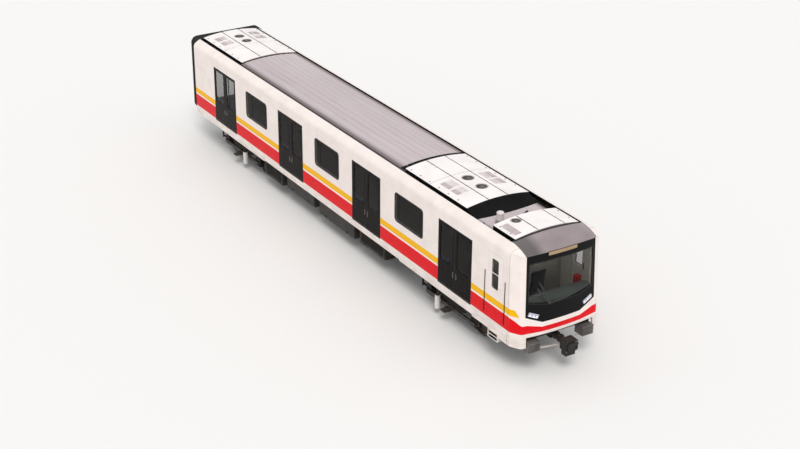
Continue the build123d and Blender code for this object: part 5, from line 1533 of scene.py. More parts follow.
@dataclass
class Nose:
    """Screen rubber, blank display strip, lamp clusters, wiper blades and the fairing's rear edge."""

    screen: Profile = ((-0.5, 1.943), (-1.035, 2.068), (-1.02, 3.178), (1.02, 3.178), (1.035, 2.068), (0.5, 1.943))
    screen_radius: float = 0.060
    screen_rubber: float = 0.026
    display_half: float = 0.45
    display_z: Pair = (3.292, 3.392)
    lamp: Pair = (-0.863, 1.718)
    lamp_half: Pair = (0.175, 0.070)
    lamp_slant: float = -24.2
    bulbs: Row = (-0.105, 0.0, 0.105)
    bowl: Profile = (
        (0.0375, -0.0045),
        (0.034, -0.0085),
        (0.027, -0.0135),
        (0.0155, -0.0165),
        (0.0155, -0.0175),
        (0.0375, -0.0175),
    )
    dome: Profile = ((0.0135, -0.0042), (0.0115, -0.0022), (0.007, -0.0012), (0.0, -0.0008))
    light_bar: tuple[Pair, Pair] = ((-0.14, 0.14), (-0.052, -0.038))
    fairing_x: float = 8.586
    fairing_z: float = 3.648
    fairing_half: float = 1.06
    fairing_radius: float = 7.431
    pivot: Pair = (-0.407, 1.970)
    cap: Profile = ((0.034, 0.004), (0.034, 0.018), (0.028, 0.0225), (0.014, 0.024), (0.0, 0.0245))
    blades: tuple[tuple[float, ...], ...] = ((-0.78, 2.468, -0.52, 2.080), (-0.03, 2.002, 0.236, 2.018))

    def slanted(self, points: Array) -> Array:
        """Points p, q of the right lamp as y, z: its middle + p (cos a, sin a) + q (-sin a, cos a)."""
        a = np.radians(self.lamp_slant)
        return np.asarray(points) @ ((np.cos(a), np.sin(a)), (-np.sin(a), np.cos(a))) + self.lamp

    def lamp_parts(self) -> list[Part]:
        """The right lamp: bezel, three reflector bowls with domes and a light bar below them.

        Returns:
            Surfaces with their finishes.
        """
        a, b = self.lamp_half
        outer = self.slanted(shrink(filleted(corners_of((-a, a), (-b, b)), 0.03, 48), 0.0005))
        bezel = CAR.on_nose(rim(outer, shrink(outer, 0.012), (-0.006, -0.0005), Axis.X, 0.001))
        centres = [(0, *spot) for spot in self.slanted([(bulb, 0.0) for bulb in self.bulbs])]
        bowls = CAR.on_nose(join([lathe(self.bowl, centre, Axis.X, 28, True) for centre in centres]))
        domes = CAR.on_nose(join([lathe(self.dome, centre, Axis.X, 20) for centre in centres]))
        bar = self.slanted(filleted(corners_of(*self.light_bar), 0.006, 60))
        light = CAR.on_nose(slab(bar, (-0.006, -0.001), Axis.X, 0.001))
        # The domes and the light bar glow faintly as painted light.
        return [(bezel, MASK), (bowls, REFLECTOR), (domes, LAMP_PAINTED_GLOW), (light, LAMP_PAINTED_GLOW)]

    def display(self) -> list[Part]:
        """The blank display strip in its border.

        Returns:
            Surfaces with their finishes.
        """
        half, (low, high) = self.display_half, self.display_z
        outline = filleted(corners_of((-half, half), (low, high)), 0.02)
        border = CAR.on_nose(rim(shrink(outline, -0.014), outline, (-0.004, 0.0035), Axis.X, 0.001))
        rows = bent_plate((low + 0.002, high - 0.002), around(0.0, half - 0.002), (-0.0045, -0.0005), 0.001, 24)
        return [(CAR.on_nose(skin(rows[..., ::-1])), DISPLAY_TAN), (border, MASK)]

    def wiper(self) -> list[Part]:
        """The wiper's rubber blades under its arms and the cap on its pivot.

        Returns:
            Surfaces with their finishes.
        """
        parts = []
        for y0, z0, y1, z1 in self.blades:
            y, z = np.linspace(y0, y1, 24), np.linspace(z0, z1, 24)
            section = rounded((-0.004, 0.004), (-0.0035, 0.0035), 0.0015, 2)
            parts.append((carry(section, xyz(CAR.front_x(y, z) + 0.0025, y, z), (1, 0, 0)), RUBBER))
        return [*parts, (CAR.on_nose(lathe(self.cap, (0, *self.pivot), Axis.X, 28)), WIPER)]

    def build(self, shop: Workshop) -> None:
        """Make the nose's trim.

        Args:
            shop: Makes the pieces.
        """
        outer = filleted(self.screen, self.screen_radius, 260)
        rubber = CAR.on_nose(rim(outer, shrink(outer, self.screen_rubber), (-0.006, 0.0015), Axis.X, 0.0015))
        shop.piece("windscreen_rubber", (rubber, RUBBER))
        shop.piece("display_strip", *self.display())
        shop.piece("lamp_clusters", *((s.both_sides(), f) for s, f in self.lamp_parts()))
        y = np.linspace(-self.fairing_half, self.fairing_half, 60)
        z = self.fairing_z - self.fairing_radius + np.sqrt(self.fairing_radius**2 - y**2)
        edge = carry(rounded((-0.024, 0.024), (-0.012, 0.006), 0.004, 2), xyz(self.fairing_x, y, z))
        shop.piece("fairing_seal", (edge, RUBBER))
        shop.piece("wiper_blades", *self.wiper())


@dataclass
class CabInterior:
    """Desk fittings, cowl, grab posts, blind and lamp behind the windscreen, and the bulkhead's trim."""

    panel_middle: Triple = (8.965, 0.0, 2.048)
    panel_turn: float = -58.57
    screens: Row = (-0.34, 0.0, 0.34)
    screen_half: Pair = (0.073, 0.143)
    screen_radius: float = 0.011
    screen_inset: float = 0.008
    screen_z: Pair = (-0.0079, -0.004)
    frame_width: float = 0.009
    frame_z: Pair = (-0.0079, 0.001)
    key: tuple[Pair, Pair, Pair] = ((-0.007, 0.007), (-0.009, 0.009), (-0.001, 0.006))
    key_x: float = -0.090
    key_ys: Triple = (-0.80, 0.81, 0.04)
    stop_place: Triple = (0.02, 0.80, 0.0)
    stop: Profile = (
        (0.0, -0.001),
        (0.012, -0.001),
        (0.012, 0.018),
        (0.024, 0.020),
        (0.024, 0.028),
        (0.016, 0.034),
        (0.0, 0.036),
    )
    stop_collar: Profile = ((0.0, -0.001), (0.034, -0.001), (0.034, 0.006), (0.030, 0.009), (0.0, 0.009))
    lever_place: Triple = (8.790, 0.330, 1.908)
    boot: Profile = (
        (0.0112, 0.052),
        (0.015, 0.050),
        (0.018, 0.034),
        (0.030, 0.018),
        (0.044, 0.006),
        (0.046, 0.0),
        (0.0112, 0.0),
    )
    desk_front: Pair = (9.120, 2.138)
    cowl_half: float = 0.96
    cowl_low: float = 2.0
    cowl_rise: float = 0.10
    cowl_bend: float = 0.5
    cowl_gap: float = 0.034
    cowl_depth: float = 0.014
    post_y: float = 1.035
    post_z: Pair = (2.02, 2.98)
    post_gap: float = 0.125
    post_radius: float = 0.016
    bracket: Triple = (0.075, 0.012, 0.014)
    blind: Triple = (9.055, 0.93, 3.14)
    lamp_x: Pair = (7.75, 8.35)
    lamp_half: float = 0.16
    lamp_border: float = 0.03
    bulkhead_x: Pair = (7.560, 7.600)
    cabinet_y: Pair = (0.44, 1.20)
    cabinet_zs: tuple[Pair, ...] = ((1.24, 2.10), (2.13, 3.02))
    cabinet_depth: float = 0.012
    latch_y: Pair = (0.47, 0.50)
    latch_half: float = 0.05
    door_pane: tuple[Pair, Pair] = ((-0.20, 0.20), (2.02, 2.92))
    pane_radius: float = 0.05
    pane_border: float = 0.028
    pane_inset: float = 0.026
    door_kick: tuple[Pair, Pair] = ((-0.29, 0.29), (1.21, 1.40))
    plate: float = 0.002
    door_lever: tuple[Triple, ...] = ((0, -0.27, 2.1), (0.035, -0.27, 2.1), (0.042, -0.24, 2.1), (0.042, -0.15, 2.098))
    case_x: Pair = (8.735, 8.900)
    case_y: Pair = (0.79, 0.95)
    case_z: Pair = (1.9075, 2.200)
    case_lid: float = 0.72
    case_handle: tuple[Pair, ...] = ((-0.05, -0.003), (-0.04, 0.022), (0.04, 0.022), (0.05, -0.003))

    def on_panel(self, surface: Surface) -> Surface:
        """Lay a flat surface on the desk's sloping panel: its x runs up the slope, its z off the panel."""
        return surface.turned((0, 0, 0), Axis.Y, self.panel_turn).repeated([self.panel_middle])

    def panel(self) -> list[Part]:
        """The screens in their recesses, a row of keys below them and the red stop button at the left end.

        Returns:
            Surfaces with their finishes.
        """
        across, along = self.screen_half
        outlines = [rounded((-across, across), around(y, along), self.screen_radius) for y in self.screens]
        glass = [slab(shrink(outline, self.screen_inset), self.screen_z, Axis.Z, 0.001) for outline in outlines]
        frames = [rim(outline, shrink(outline, self.frame_width), self.frame_z, Axis.Z, 0.001) for outline in outlines]
        keys = box(*self.key, 0.002).repeated(xyz(self.key_x, np.arange(*self.key_ys), 0))
        stop, collar = (lathe(profile, self.stop_place, Axis.Z, 24) for profile in (self.stop, self.stop_collar))
        finishes = (DESK_SCREEN, RUBBER, PANEL, STOP_RED, EDGE_PALE)
        return [(self.on_panel(s), f) for s, f in zip((join(glass), join(frames), keys, stop, collar), finishes)]

    def cowl(self) -> Surface:
        """The sloping cover between the desk and the windscreen: straight from the one to a line inside the other.

        Returns:
            The cover.
        """
        y = np.linspace(-self.cowl_half, self.cowl_half, 21)
        low = self.cowl_low + self.cowl_rise * np.clip((np.abs(y) - self.cowl_bend) / self.cowl_bend, 0, 1)
        front = CAR.front_x(y, low) - self.cowl_gap
        x, z = self.desk_front
        shares = (0.0, 0.5, 1.0)
        rows = [(share, 0.0) for share in shares] + [(share, self.cowl_depth) for share in reversed(shares)]
        lines = [xyz(x + s * (front - x), y, z + 0.003 + s * (low - z) - drop) for s, drop in rows]
        return skin(np.stack(lines, axis=1))

    def posts(self) -> Surface:
        """An upright grab rail on brackets beside the windscreen.

        Returns:
            The posts of both sides.
        """
        z = np.linspace(*self.post_z, 12)
        x = CAR.front_x(self.post_y, z) - self.post_gap
        post = carry(disc(self.post_radius, 14), xyz(x, self.post_y, z), (0, 1, 0))
        reach, width, height = self.bracket
        y = around(self.post_y, width)
        ends = [box((x[k] - width, x[k] + reach), y, around(z[k], height), 0.004) for k in (0, -1)]
        return join([post, *ends]).both_sides()

    def blind_roll(self) -> list[Part]:
        """The rolled sun blind over the windscreen, on an arm at each end.

        Returns:
            Surfaces with their finishes.
        """
        x, half, z = self.blind
        steps = ((0.0, 0.0), (0.022, 0.0), (0.022, 0.02), (0.030, 0.021))
        roll = [(r, inset - half) for r, inset in steps] + [(r, half - inset) for r, inset in reversed(steps)]
        arms = box((x - 0.02, x + 0.08), (half - 0.004, half + 0.008), (z - 0.02, z + 0.08), 0.004).both_sides()
        return [(lathe(roll, (x, 0, z), Axis.Y, 20), RUBBER), (arms, PANEL)]

    def lamp(self) -> list[Part]:
        """The cab's ceiling lamp in its tray.

        Returns:
            Surfaces with their finishes.
        """
        (x0, x1), top = self.lamp_x, CAR.ceiling_z
        lens = box((x0, x1), around(0.0, self.lamp_half), (top - 0.012, top), 0.005)
        y = around(0.0, self.lamp_half + self.lamp_border)
        tray = box((x0 - self.lamp_border, x1 + self.lamp_border), y, (top - 0.007, top + 0.001), 0.003)
        return [(lens, CAB_LAMP), (tray, PANEL)]

    def bulkhead(self) -> list[Part]:
        """Cabinet doors with latches on the cab side of the bulkhead.

        Returns:
            Surfaces with their finishes.
        """
        face, doors, latches = self.bulkhead_x[1], [], []
        for z in self.cabinet_zs:
            doors.append(slab(rounded(self.cabinet_y, z, 0.02), (face, face + self.cabinet_depth), Axis.X, 0.004))
            height = around(sum(z) / 2, self.latch_half)
            latches.append(box((face + 0.011, face + 0.022), self.latch_y, height, 0.004))
        return [(join(doors).both_sides(), PANEL), (join(latches).both_sides(), STEEL)]

    def case(self) -> list[Part]:
        """A red case with a lid, latches and a handle on the left end of the desk.

        Returns:
            Surfaces with their finishes.
        """
        x, y, (z0, z1) = self.case_x, self.case_y, self.case_z
        middle, across, joint = sum(x) / 2, sum(y) / 2, z0 + self.case_lid * (z1 - z0)
        body, lid = box(x, y, (z0, joint - 0.002), 0.010), box(x, y, (joint + 0.002, z1), 0.010)
        belt = box((x[0] + 0.003, x[1] - 0.003), (y[0] + 0.003, y[1] - 0.003), around(joint, 0.006), 0.002)
        handle = tube([(middle + dx, across, z1 + dz) for dx, dz in self.case_handle], 0.006, 20, (0, 1, 0))
        front, height = (y[0] - 0.006, y[0] + 0.004), (joint - 0.03, joint + 0.02)
        latches = [box((middle + dx, middle + dx + 0.02), front, height, 0.002) for dx in (-0.05, 0.03)]
        return [(join([body, lid]), STOP_RED), (join([belt, handle]), RUBBER), (join(latches), STEEL)]

    def door(self) -> list[Part]:
        """The bulkhead door's window, handle and kick plates, on both faces.

        Returns:
            Surfaces with their finishes.
        """
        low, high = self.bulkhead_x
        pane = rounded(*self.door_pane, self.pane_radius, 5)
        frames = rim(pane, shrink(pane, self.pane_border), (low - 0.004, high + 0.004), Axis.X, 0.0015)
        layers = [(x, x + self.plate) for x in (low - self.plate, high)]
        glass = [slab(shrink(pane, self.pane_inset), layer, Axis.X, 0.0005) for layer in layers]
        kicks = [slab(rounded(*self.door_kick, 0.01), layer, Axis.X, 0.0005) for layer in layers]
        lever = tube([(high + x, y, z) for x, y, z in self.door_lever], 0.008, 18)
        return [(frames, RUBBER), (join(glass), DOOR_BLACK), (join([*kicks, lever]), STEEL)]

    def build(self, shop: Workshop) -> None:
        """Make the cab's fittings and those of the bulkhead door.

        Args:
            shop: Makes the pieces.
        """
        shop.piece("desk_panel", *self.panel())
        boots = lathe(self.boot, self.lever_place, Axis.Z, 24, True).both_sides()
        shop.piece("desk_cowl", (self.cowl(), DESK), (boots, RUBBER))
        shop.piece("cab_posts", (self.posts(), EDGE_PALE))
        shop.piece("cab_blind", *self.blind_roll())
        shop.piece("cab_lamp", *self.lamp())
        shop.piece("bulkhead_cabinets", *self.bulkhead())
        shop.piece("desk_case", *self.case())
        shop.piece("bulkhead_door_trim", *self.door(), body="saloon_door")


def coordinates(mesh: bpy.types.Mesh) -> Array:
    """The points of a mesh, one a row.

    Args:
        mesh: The mesh.

    Returns:
        Points, three columns.
    """
    points = np.empty(3 * len(mesh.vertices))
    mesh.vertices.foreach_get("co", points)
    return points.reshape(-1, 3)


CLOTH_FRAMES = 20
UNDERSIDE = 0.004


def inflate(form: Surface, seam_z: float, pressure: float = 4.0, cap: float = 0.008, voxel: float = 0.006) -> Surface:
    """Swell a pad that lies flat, by a cloth simulation that holds its underside and its edge seam.

    The form is remeshed in voxels, blown up for twenty frames with gravity off, and no point may end
    further than the cap from where it started.

    Args:
        form: The closed pad, with its underside at z = 0.
        seam_z: Height of the edge seam, which holds the cloth all round.
        pressure: Pressure inside the pad.
        cap: Furthest move of a point, in metres.
        voxel: Size of the voxels, in metres.

    Returns:
        The swollen pad.
    """
    scene = bpy.context.scene
    mesh = bpy.data.meshes.new("pad_form")
    mesh.from_pydata(form.points.tolist(), [], form.faces)
    block = bpy.data.objects.new("pad_form", mesh)
    scene.collection.objects.link(block)
    remesh = block.modifiers.new("voxels", "REMESH")
    remesh.mode, remesh.voxel_size = "VOXEL", voxel
    fine = bpy.data.meshes.new_from_object(block.evaluated_get(bpy.context.evaluated_depsgraph_get()))
    sheet = bpy.data.objects.new("pad_cloth", fine)
    scene.collection.objects.link(sheet)
    before = coordinates(fine)
    held = (np.abs(before[:, 2] - seam_z) < 0.75 * voxel) | (before[:, 2] < UNDERSIDE)
    sheet.vertex_groups.new(name="held").add(np.flatnonzero(held).tolist(), 1.0, "REPLACE")
    cloth = sheet.modifiers.new("cloth", "CLOTH")
    cloth.settings.vertex_group_mass = "held"
    cloth.settings.use_pressure = True
    cloth.settings.uniform_pressure_force = pressure
    cloth.settings.effector_weights.gravity = 0.0
    for number in range(1, CLOTH_FRAMES + 1):
        scene.frame_set(number)
    blown = bpy.data.meshes.new_from_object(sheet.evaluated_get(bpy.context.evaluated_depsgraph_get()))
    move = coordinates(blown) - before
    length = np.linalg.norm(move, axis=1, keepdims=True)
    points = before + move * np.minimum(1.0, cap / np.maximum(length, 1e-9))
    corners = np.empty(len(fine.loops), int)
    fine.loops.foreach_get("vertex_index", corners)
    LOG.info("pad of %d points swelled by up to %.1f mm", len(points), 1000 * float(length.max()))
    scene.frame_set(1)
    for spare in (block, sheet):
        bpy.data.objects.remove(spare)
    for spare in (mesh, fine, blown):
        bpy.data.meshes.remove(spare)
    return Surface(points, corners.reshape(-1, 4).tolist())


@dataclass
class DriverSeat:
    """The driver's seat: padded cushion and back with piped seams on a turned pedestal."""

    centre: Triple = (8.360, 0.0, CAR.floor_z)
    pan_z: float = 1.560
    half: float = 0.230
    cushion_x: Pair = (8.156, 8.570)
    cushion_height: float = 0.074
    cushion_channels: Row = (-0.07, 0.07)
    back_foot: Pair = (8.195, 1.690)
    back_length: float = 0.658
    back_lean: float = -82.9
    back_height: float = 0.064
    back_channels: Row = (-0.18, 0.0, 0.18)
    channel: float = 0.009
    channel_width: float = 0.009
    corner: float = 0.055
    outline_points: int = 96
    side_pull: float = 0.03
    seam_share: float = 0.80
    crown_share: float = 0.88
    crown_low: float = 0.97
    crown_rise: float = 0.24
    piping_radius: float = 0.004
    outline_shares: Row = (0.0, 0.5, 0.93, 0.985, 1.0, 1.0, 0.99, 0.965, 0.93)
    outline_rises: Row = (0.0, 0.0, 0.0, 0.12, 0.30, 0.55, 0.72, 0.86, 0.93)
    pedestal: Profile = (
        (0.0, 0.0),
        (0.188, 0.0),
        (0.188, 0.014),
        (0.180, 0.022),
        (0.075, 0.030),
        (0.058, 0.050),
        (0.058, 0.33),
        (0.085, 0.345),
        (0.085, 0.375),
        (0.0, 0.375),
    )

    def pad(self, length: float, half: float, height: float, channels: Row) -> tuple[Surface, Surface]:
        """A crowned cushion lying flat, swollen by simulation, with its sewn channels and piping.

        It starts as outlines that shrink towards its top and its underside: rounded rectangles whose
        sides pull in by cos^2 between their corners, with a crown of cos^1.2 over the top. The channels
        sink the swollen top by depth exp(-((x - place) / width)^2).

        Args:
            length: Size along X.
            half: Half its size along Y.
            height: Thickness at the edge, without the crown.
            channels: Places of the sewn channels along X, from the middle.

        Returns:
            The cushion, and the piping round its upper seam.
        """
        reach = length / 2
        outline = filleted(corners_of((-reach, reach), (-half, half)), self.corner, self.outline_points)
        sides = np.abs(outline) / (reach, half)
        outline = outline * (1 - self.side_pull * np.cos(np.pi / 2 * np.min(sides, axis=1, keepdims=True)) ** 2)
        top = np.linspace(self.crown_share, 0.0, 15)
        shares = np.concatenate((self.outline_shares, top))[:, None, None]
        crown = self.crown_low + self.crown_rise * np.cos(np.pi / 2 * top) ** 1.2
        rises = np.concatenate((self.outline_rises, crown))
        flat = shares * outline[None]
        seam_z = self.seam_share * height
        form = xyz(flat[..., 0], flat[..., 1], (rises * height)[:, None])
        pad = inflate(skin(form, (False, False)), seam_z)
        x, z = pad.points[:, 0], pad.points[:, 2]
        sink = sum(np.exp(-(((x - spot) / self.channel_width) ** 2)) for spot in channels)
        pad.points[:, 2] = z - self.channel * sink * np.clip((z - seam_z) / (0.3 * height), 0.0, 1.0)
        seam = xyz(*(outline * 0.984).T, seam_z)
        return pad, carry(disc(self.piping_radius, 8), seam, ring=True)

    def frame(self) -> list[Part]:
        """The turned pedestal with its gaiter, and the pan.

        Returns:
            Surfaces with their finishes.
        """
        x, y = (self.cushion_x[0] + 0.02, self.cushion_x[1] - 0.03), around(0.0, self.half - 0.02)
        pan = box(x, y, around(self.pan_z, 0.010), 0.006)
        folds = [(0.060 + 0.012 * (k % 2), 0.08 + 0.02 * k) for k in range(12)]
        gaiter = lathe([(0.0, 0.08), *folds, (0.0, 0.30)], self.centre, Axis.Z, 28)
        return [(join([lathe(self.pedestal, self.centre, Axis.Z, 36), pan]), DARK_METAL), (gaiter, RUBBER)]

    def build(self, shop: Workshop) -> None:
        """Make the two pads with their piping, then the pedestal and the pan.

        Args:
            shop: Makes the pieces.
        """
        finishes = (FABRIC, RUBBER)
        x0, x1 = self.cushion_x
        middle = ((x0 + x1) / 2, 0.0, self.pan_z + 0.008)
        level = self.pad(x1 - x0, self.half, self.cushion_height, self.cushion_channels)
        parts = [(surface.repeated([middle]), finish) for surface, finish in zip(level, finishes)]
        cushion = shop.piece("driver_seat_cushion", *parts, smooth=60.0)
        lean, reach = np.radians(self.back_lean), self.back_length / 2
        spot = (self.back_foot[0] + np.cos(lean) * reach, 0.0, self.back_foot[1] - np.sin(lean) * reach)
        level = self.pad(self.back_length, self.half * 0.96, self.back_height, self.back_channels)
        tilted = [surface.turned((0, 0, 0), Axis.Y, self.back_lean + 180).repeated([spot]) for surface in level]
        back = shop.piece("driver_seat_back", *zip(tilted, finishes), smooth=60.0)
        frame = shop.piece("driver_seat_frame", *self.frame())
        for piece in (cushion, back, frame):
            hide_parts("driver_seat")


@dataclass
class Saloon:
    """Floor cover, ceiling lamps and hanging straps of the passenger saloon."""

    x: Pair = (-9.480, 7.550)
    floor_half: float = 1.286
    strip_half: float = 0.79
    edge_y: Pair = (1.20, 1.285)
    lamp_y: Pair = (0.46, 0.60)
    lamp_border: float = 0.03
    rail_z: float = 3.058
    rail_y: float = 0.810
    rail_xs: tuple[Pair, ...] = ((-6.2, -3.7), (-1.65, 0.85), (2.9, 5.4))
    strap_pitch: float = 0.30
    grip_radius: float = 0.055
    grip_drop: float = 0.205

    def build(self, shop: Workshop) -> None:
        """Make the floor cover with its doorway strips, the lamps and the strap handles.

        Args:
            shop: Makes the pieces.
        """
        low, top = CAR.floor_z, CAR.ceiling_z
        cover = box(self.x, (-self.floor_half, self.floor_half), (low - 0.0005, low + 0.003), 0.001)
        z = (low + 0.0025, low + 0.006)
        edges = [box(around(x, self.strip_half), self.edge_y, z, 0.001) for x in CAR.doorways]
        shop.piece("saloon_floor", (cover, FLOORING), (join(edges).both_sides(), TREAD))
        (x0, x1), (y0, y1) = self.x, self.lamp_y
        lamp = box((x0 + 0.1, x1 - 0.1), (y0, y1), (top - 0.016, top + 0.001), 0.006).both_sides()
        y = (y0 - self.lamp_border, y1 + self.lamp_border)
        tray = box((x0 + 0.08, x1 - 0.08), y, (top - 0.008, top + 0.001), 0.003).both_sides()
        shop.piece("saloon_lamps", (lamp, SALOON_LAMP), (tray, PANEL))
        web = box((-0.012, 0.012), (-0.0015, 0.0015), (-0.16, 0.0), 0.001)
        a, b = disc(self.grip_radius, 20).T
        grip = carry(disc(0.007, 8), xyz(a, 0, b - self.grip_drop), (0, 1, 0), ring=True)
        spots = xyz(marks(self.rail_xs, self.strap_pitch), self.rail_y, self.rail_z - 0.012)
        straps = [(form.repeated(spots).both_sides(), finish) for form, finish in ((web, RUBBER), (grip, EDGE_PALE))]
        shop.piece("saloon_straps", *straps)


@dataclass
class Underfloor:
    """Lid bolts, latches, hinges and joining pipes of the equipment boxes, tank straps and step treads."""

    start: float = -4.700
    gap: float = 0.300
    face_y: float = 1.252
    sill_z: float = 0.998
    rows: tuple[tuple[float, tuple[Pair, ...]], ...] = (
        (-1.0, ((1.207, 0.560), (1.775, 0.480), (2.130, 0.540), (1.420, 0.500))),
        (1.0, ((1.420, 0.520), (1.846, 0.500), (1.704, 0.470), (2.130, 0.540))),
    )
    lid_edge: float = 0.055
    bolt_start: float = 0.06
    bolt_pitch: float = 0.22
    hinge_shares: Pair = (0.2, 0.8)
    hasp: tuple[Triple, ...] = ((-0.014, 0.008, 0.085), (0.0, 0.016, 0.06), (0.014, 0.008, 0.035))
    link_radius: float = 0.016
    link_yz: Profile = ((0.70, 0.80), (0.80, 0.76), (0.90, 0.80))
    pin: Profile = ((0.0, -0.05), (0.011, -0.05), (0.011, 0.05), (0.0, 0.05))
    nut: Profile = ((0.0, 0.0), (0.026, 0.0), (0.026, 0.020), (0.020, 0.026), (0.0, 0.026))
    cock: Profile = ((0.0, 0.0), (0.016, 0.0), (0.016, -0.020), (0.009, -0.026), (0.009, -0.055), (0.0, -0.055))
    tanks: tuple[Pair, ...] = ((-4.50, -3.05), (1.65, 3.10))
    tank_z: float = 0.773
    tank_radius: float = 0.165
    pipe_xs: Row = (-8.6, -2.0, 4.0, 7.9)
    pipe_ys: Row = (0.520, 0.560, 0.600)
    pipe_z: float = 0.985
    pipe_radius: float = 0.011
    strap_inset: float = 0.27
    clamp_xs: Triple = (-4.4, 3.3, 0.9)
    tread_x: Pair = (8.062, 8.450)
    tread_zs: Row = (0.701, 0.805)
    rib_pitch: float = 0.025

    def lid(self, x: float, length: float, height: float) -> tuple[Surface, Surface]:
        """One box's bolts along the lid's edge, and its hinges and latches.

        Args:
            x: Rear end of the box.
            length: Length of the box.
            height: Height of the box.

        Returns:
            The bolts, and the hinges with the latches.
        """
        y, low, high = self.face_y, self.sill_z - height, self.sill_z
        count = max(4, int(length / self.bolt_pitch))
        along = np.linspace(x + self.bolt_start, x + length - self.bolt_start, count)
        spots = [(a, y - 0.001, z) for a in along for z in (low + self.lid_edge, high - self.lid_edge)]
        hardware = []
        for middle in (x + share * length for share in self.hinge_shares):
            hardware += [
                lathe(self.pin, (middle, y + 0.008, high - 0.030), Axis.X, 12),
                box(around(middle, 0.045), (y - 0.012, y + 0.005), (high - 0.10, high - 0.022), 0.003),
                box(around(middle, 0.022), (y - 0.002, y + 0.010), (low + 0.02, low + 0.10), 0.003),
                tube(np.add(self.hasp, (middle, y, low)), 0.004, 10, (1, 0, 0)),
            ]
        return bolts(spots, 0.010, 0.007, Axis.Y), join(hardware)

    def links(self, x: float, side: float) -> tuple[list[Surface], list[Surface]]:
        """The short pipes from one box to the next, and the nuts at their ends.

        Args:
            x: Front end of the rear box.
            side: Side of the car.

        Returns:
            The nuts and the pipes.
        """
        nuts, pipes = [], []
        for y, z in self.link_yz:
            sag = ((-0.005, 0.0), (0.10, -0.02), (0.20, -0.02), (self.gap + 0.005, 0.0))
            pipes.append(tube([(x + dx, side * y, z + dz) for dx, dz in sag], self.link_radius, 14))
            nuts.append(lathe(self.nut, (x, side * y, z), Axis.X, 6))
            nuts.append(lathe([(r, -h) for r, h in self.nut], (x + self.gap, side * y, z), Axis.X, 6))
        return nuts, pipes

    def boxes(self) -> list[Part]:
        """The hardware of every box on both sides, with short pipes and their nuts in the gaps.

        Returns:
            Surfaces with their finishes.
        """
        heads, metal, pipes = [], [], []
        for side, sizes in self.rows:
            x = self.start
            for number, (length, height) in enumerate(sizes, 1):
                bolt_heads, hardware = self.lid(x, length, height)
                heads.append(bolt_heads.on_side(side))
                metal.append(hardware.on_side(side))
                if number < len(sizes):
                    nuts, runs = self.links(x + length, side)
                    metal += nuts
                    pipes += runs
                x += length + self.gap
        return [(join(heads), STEEL), (join(metal), DARK_METAL), (join(pipes), TANK_BLACK)]

    def pipework(self) -> list[Part]:
        """Air pipes along the centre sills on clamps, and the tanks' straps and drain cocks.

        Returns:
            Surfaces with their finishes.
        """
        pipes = [tube([(x, y, self.pipe_z) for x in self.pipe_xs], self.pipe_radius, 40) for y in self.pipe_ys]
        clamp = box((-0.015, 0.015), (self.pipe_ys[0] - 0.02, self.pipe_ys[-1] + 0.02), (0.972, self.sill_z), 0.003)
        metal = [clamp.repeated(xyz(np.arange(*self.clamp_xs), 0, 0))]
        a, b = disc(self.tank_radius + 0.003, 36).T
        section = rounded((-0.020, 0.020), (-0.004, 0.004), 0.0015, 1)
        for rear, front in self.tanks:
            for x in (rear + self.strap_inset, front - self.strap_inset):
                metal.append(carry(section, xyz(x, a, b + self.tank_z), (1, 0, 0), ring=True))
            metal.append(lathe(self.cock, ((rear + front) / 2, 0, self.tank_z - self.tank_radius), Axis.Z, 16))
        return [(join(pipes).both_sides(), TANK_BLACK), (join(metal), DARK_METAL)]

    def treads(self) -> Surface:
        """Ribbed plates on both steps of each side.

        Returns:
            The plates with their ribs.
        """
        parts = []
        starts = np.arange(self.tread_x[0] + 0.02, self.tread_x[1], self.rib_pitch)
        for z in self.tread_zs:
            parts.append(box(self.tread_x, (1.168, 1.366), (z - 0.0005, z + 0.003), 0.001))
            rib = box((-0.0025, 0.0025), (1.175, 1.360), (z + 0.0025, z + 0.006), 0.001)
            parts.append(rib.repeated(xyz(starts, 0, 0)))
        return join(parts).both_sides()

    def build(self, shop: Workshop) -> None:
        """Make the fittings of the boxes, tanks and steps.

        Args:
            shop: Makes the pieces.
        """
        shop.piece("equipment_fittings", *self.boxes())
        shop.piece("underfloor_pipes", *self.pipework())
        shop.piece("cab_step_treads", (self.treads(), TREAD))


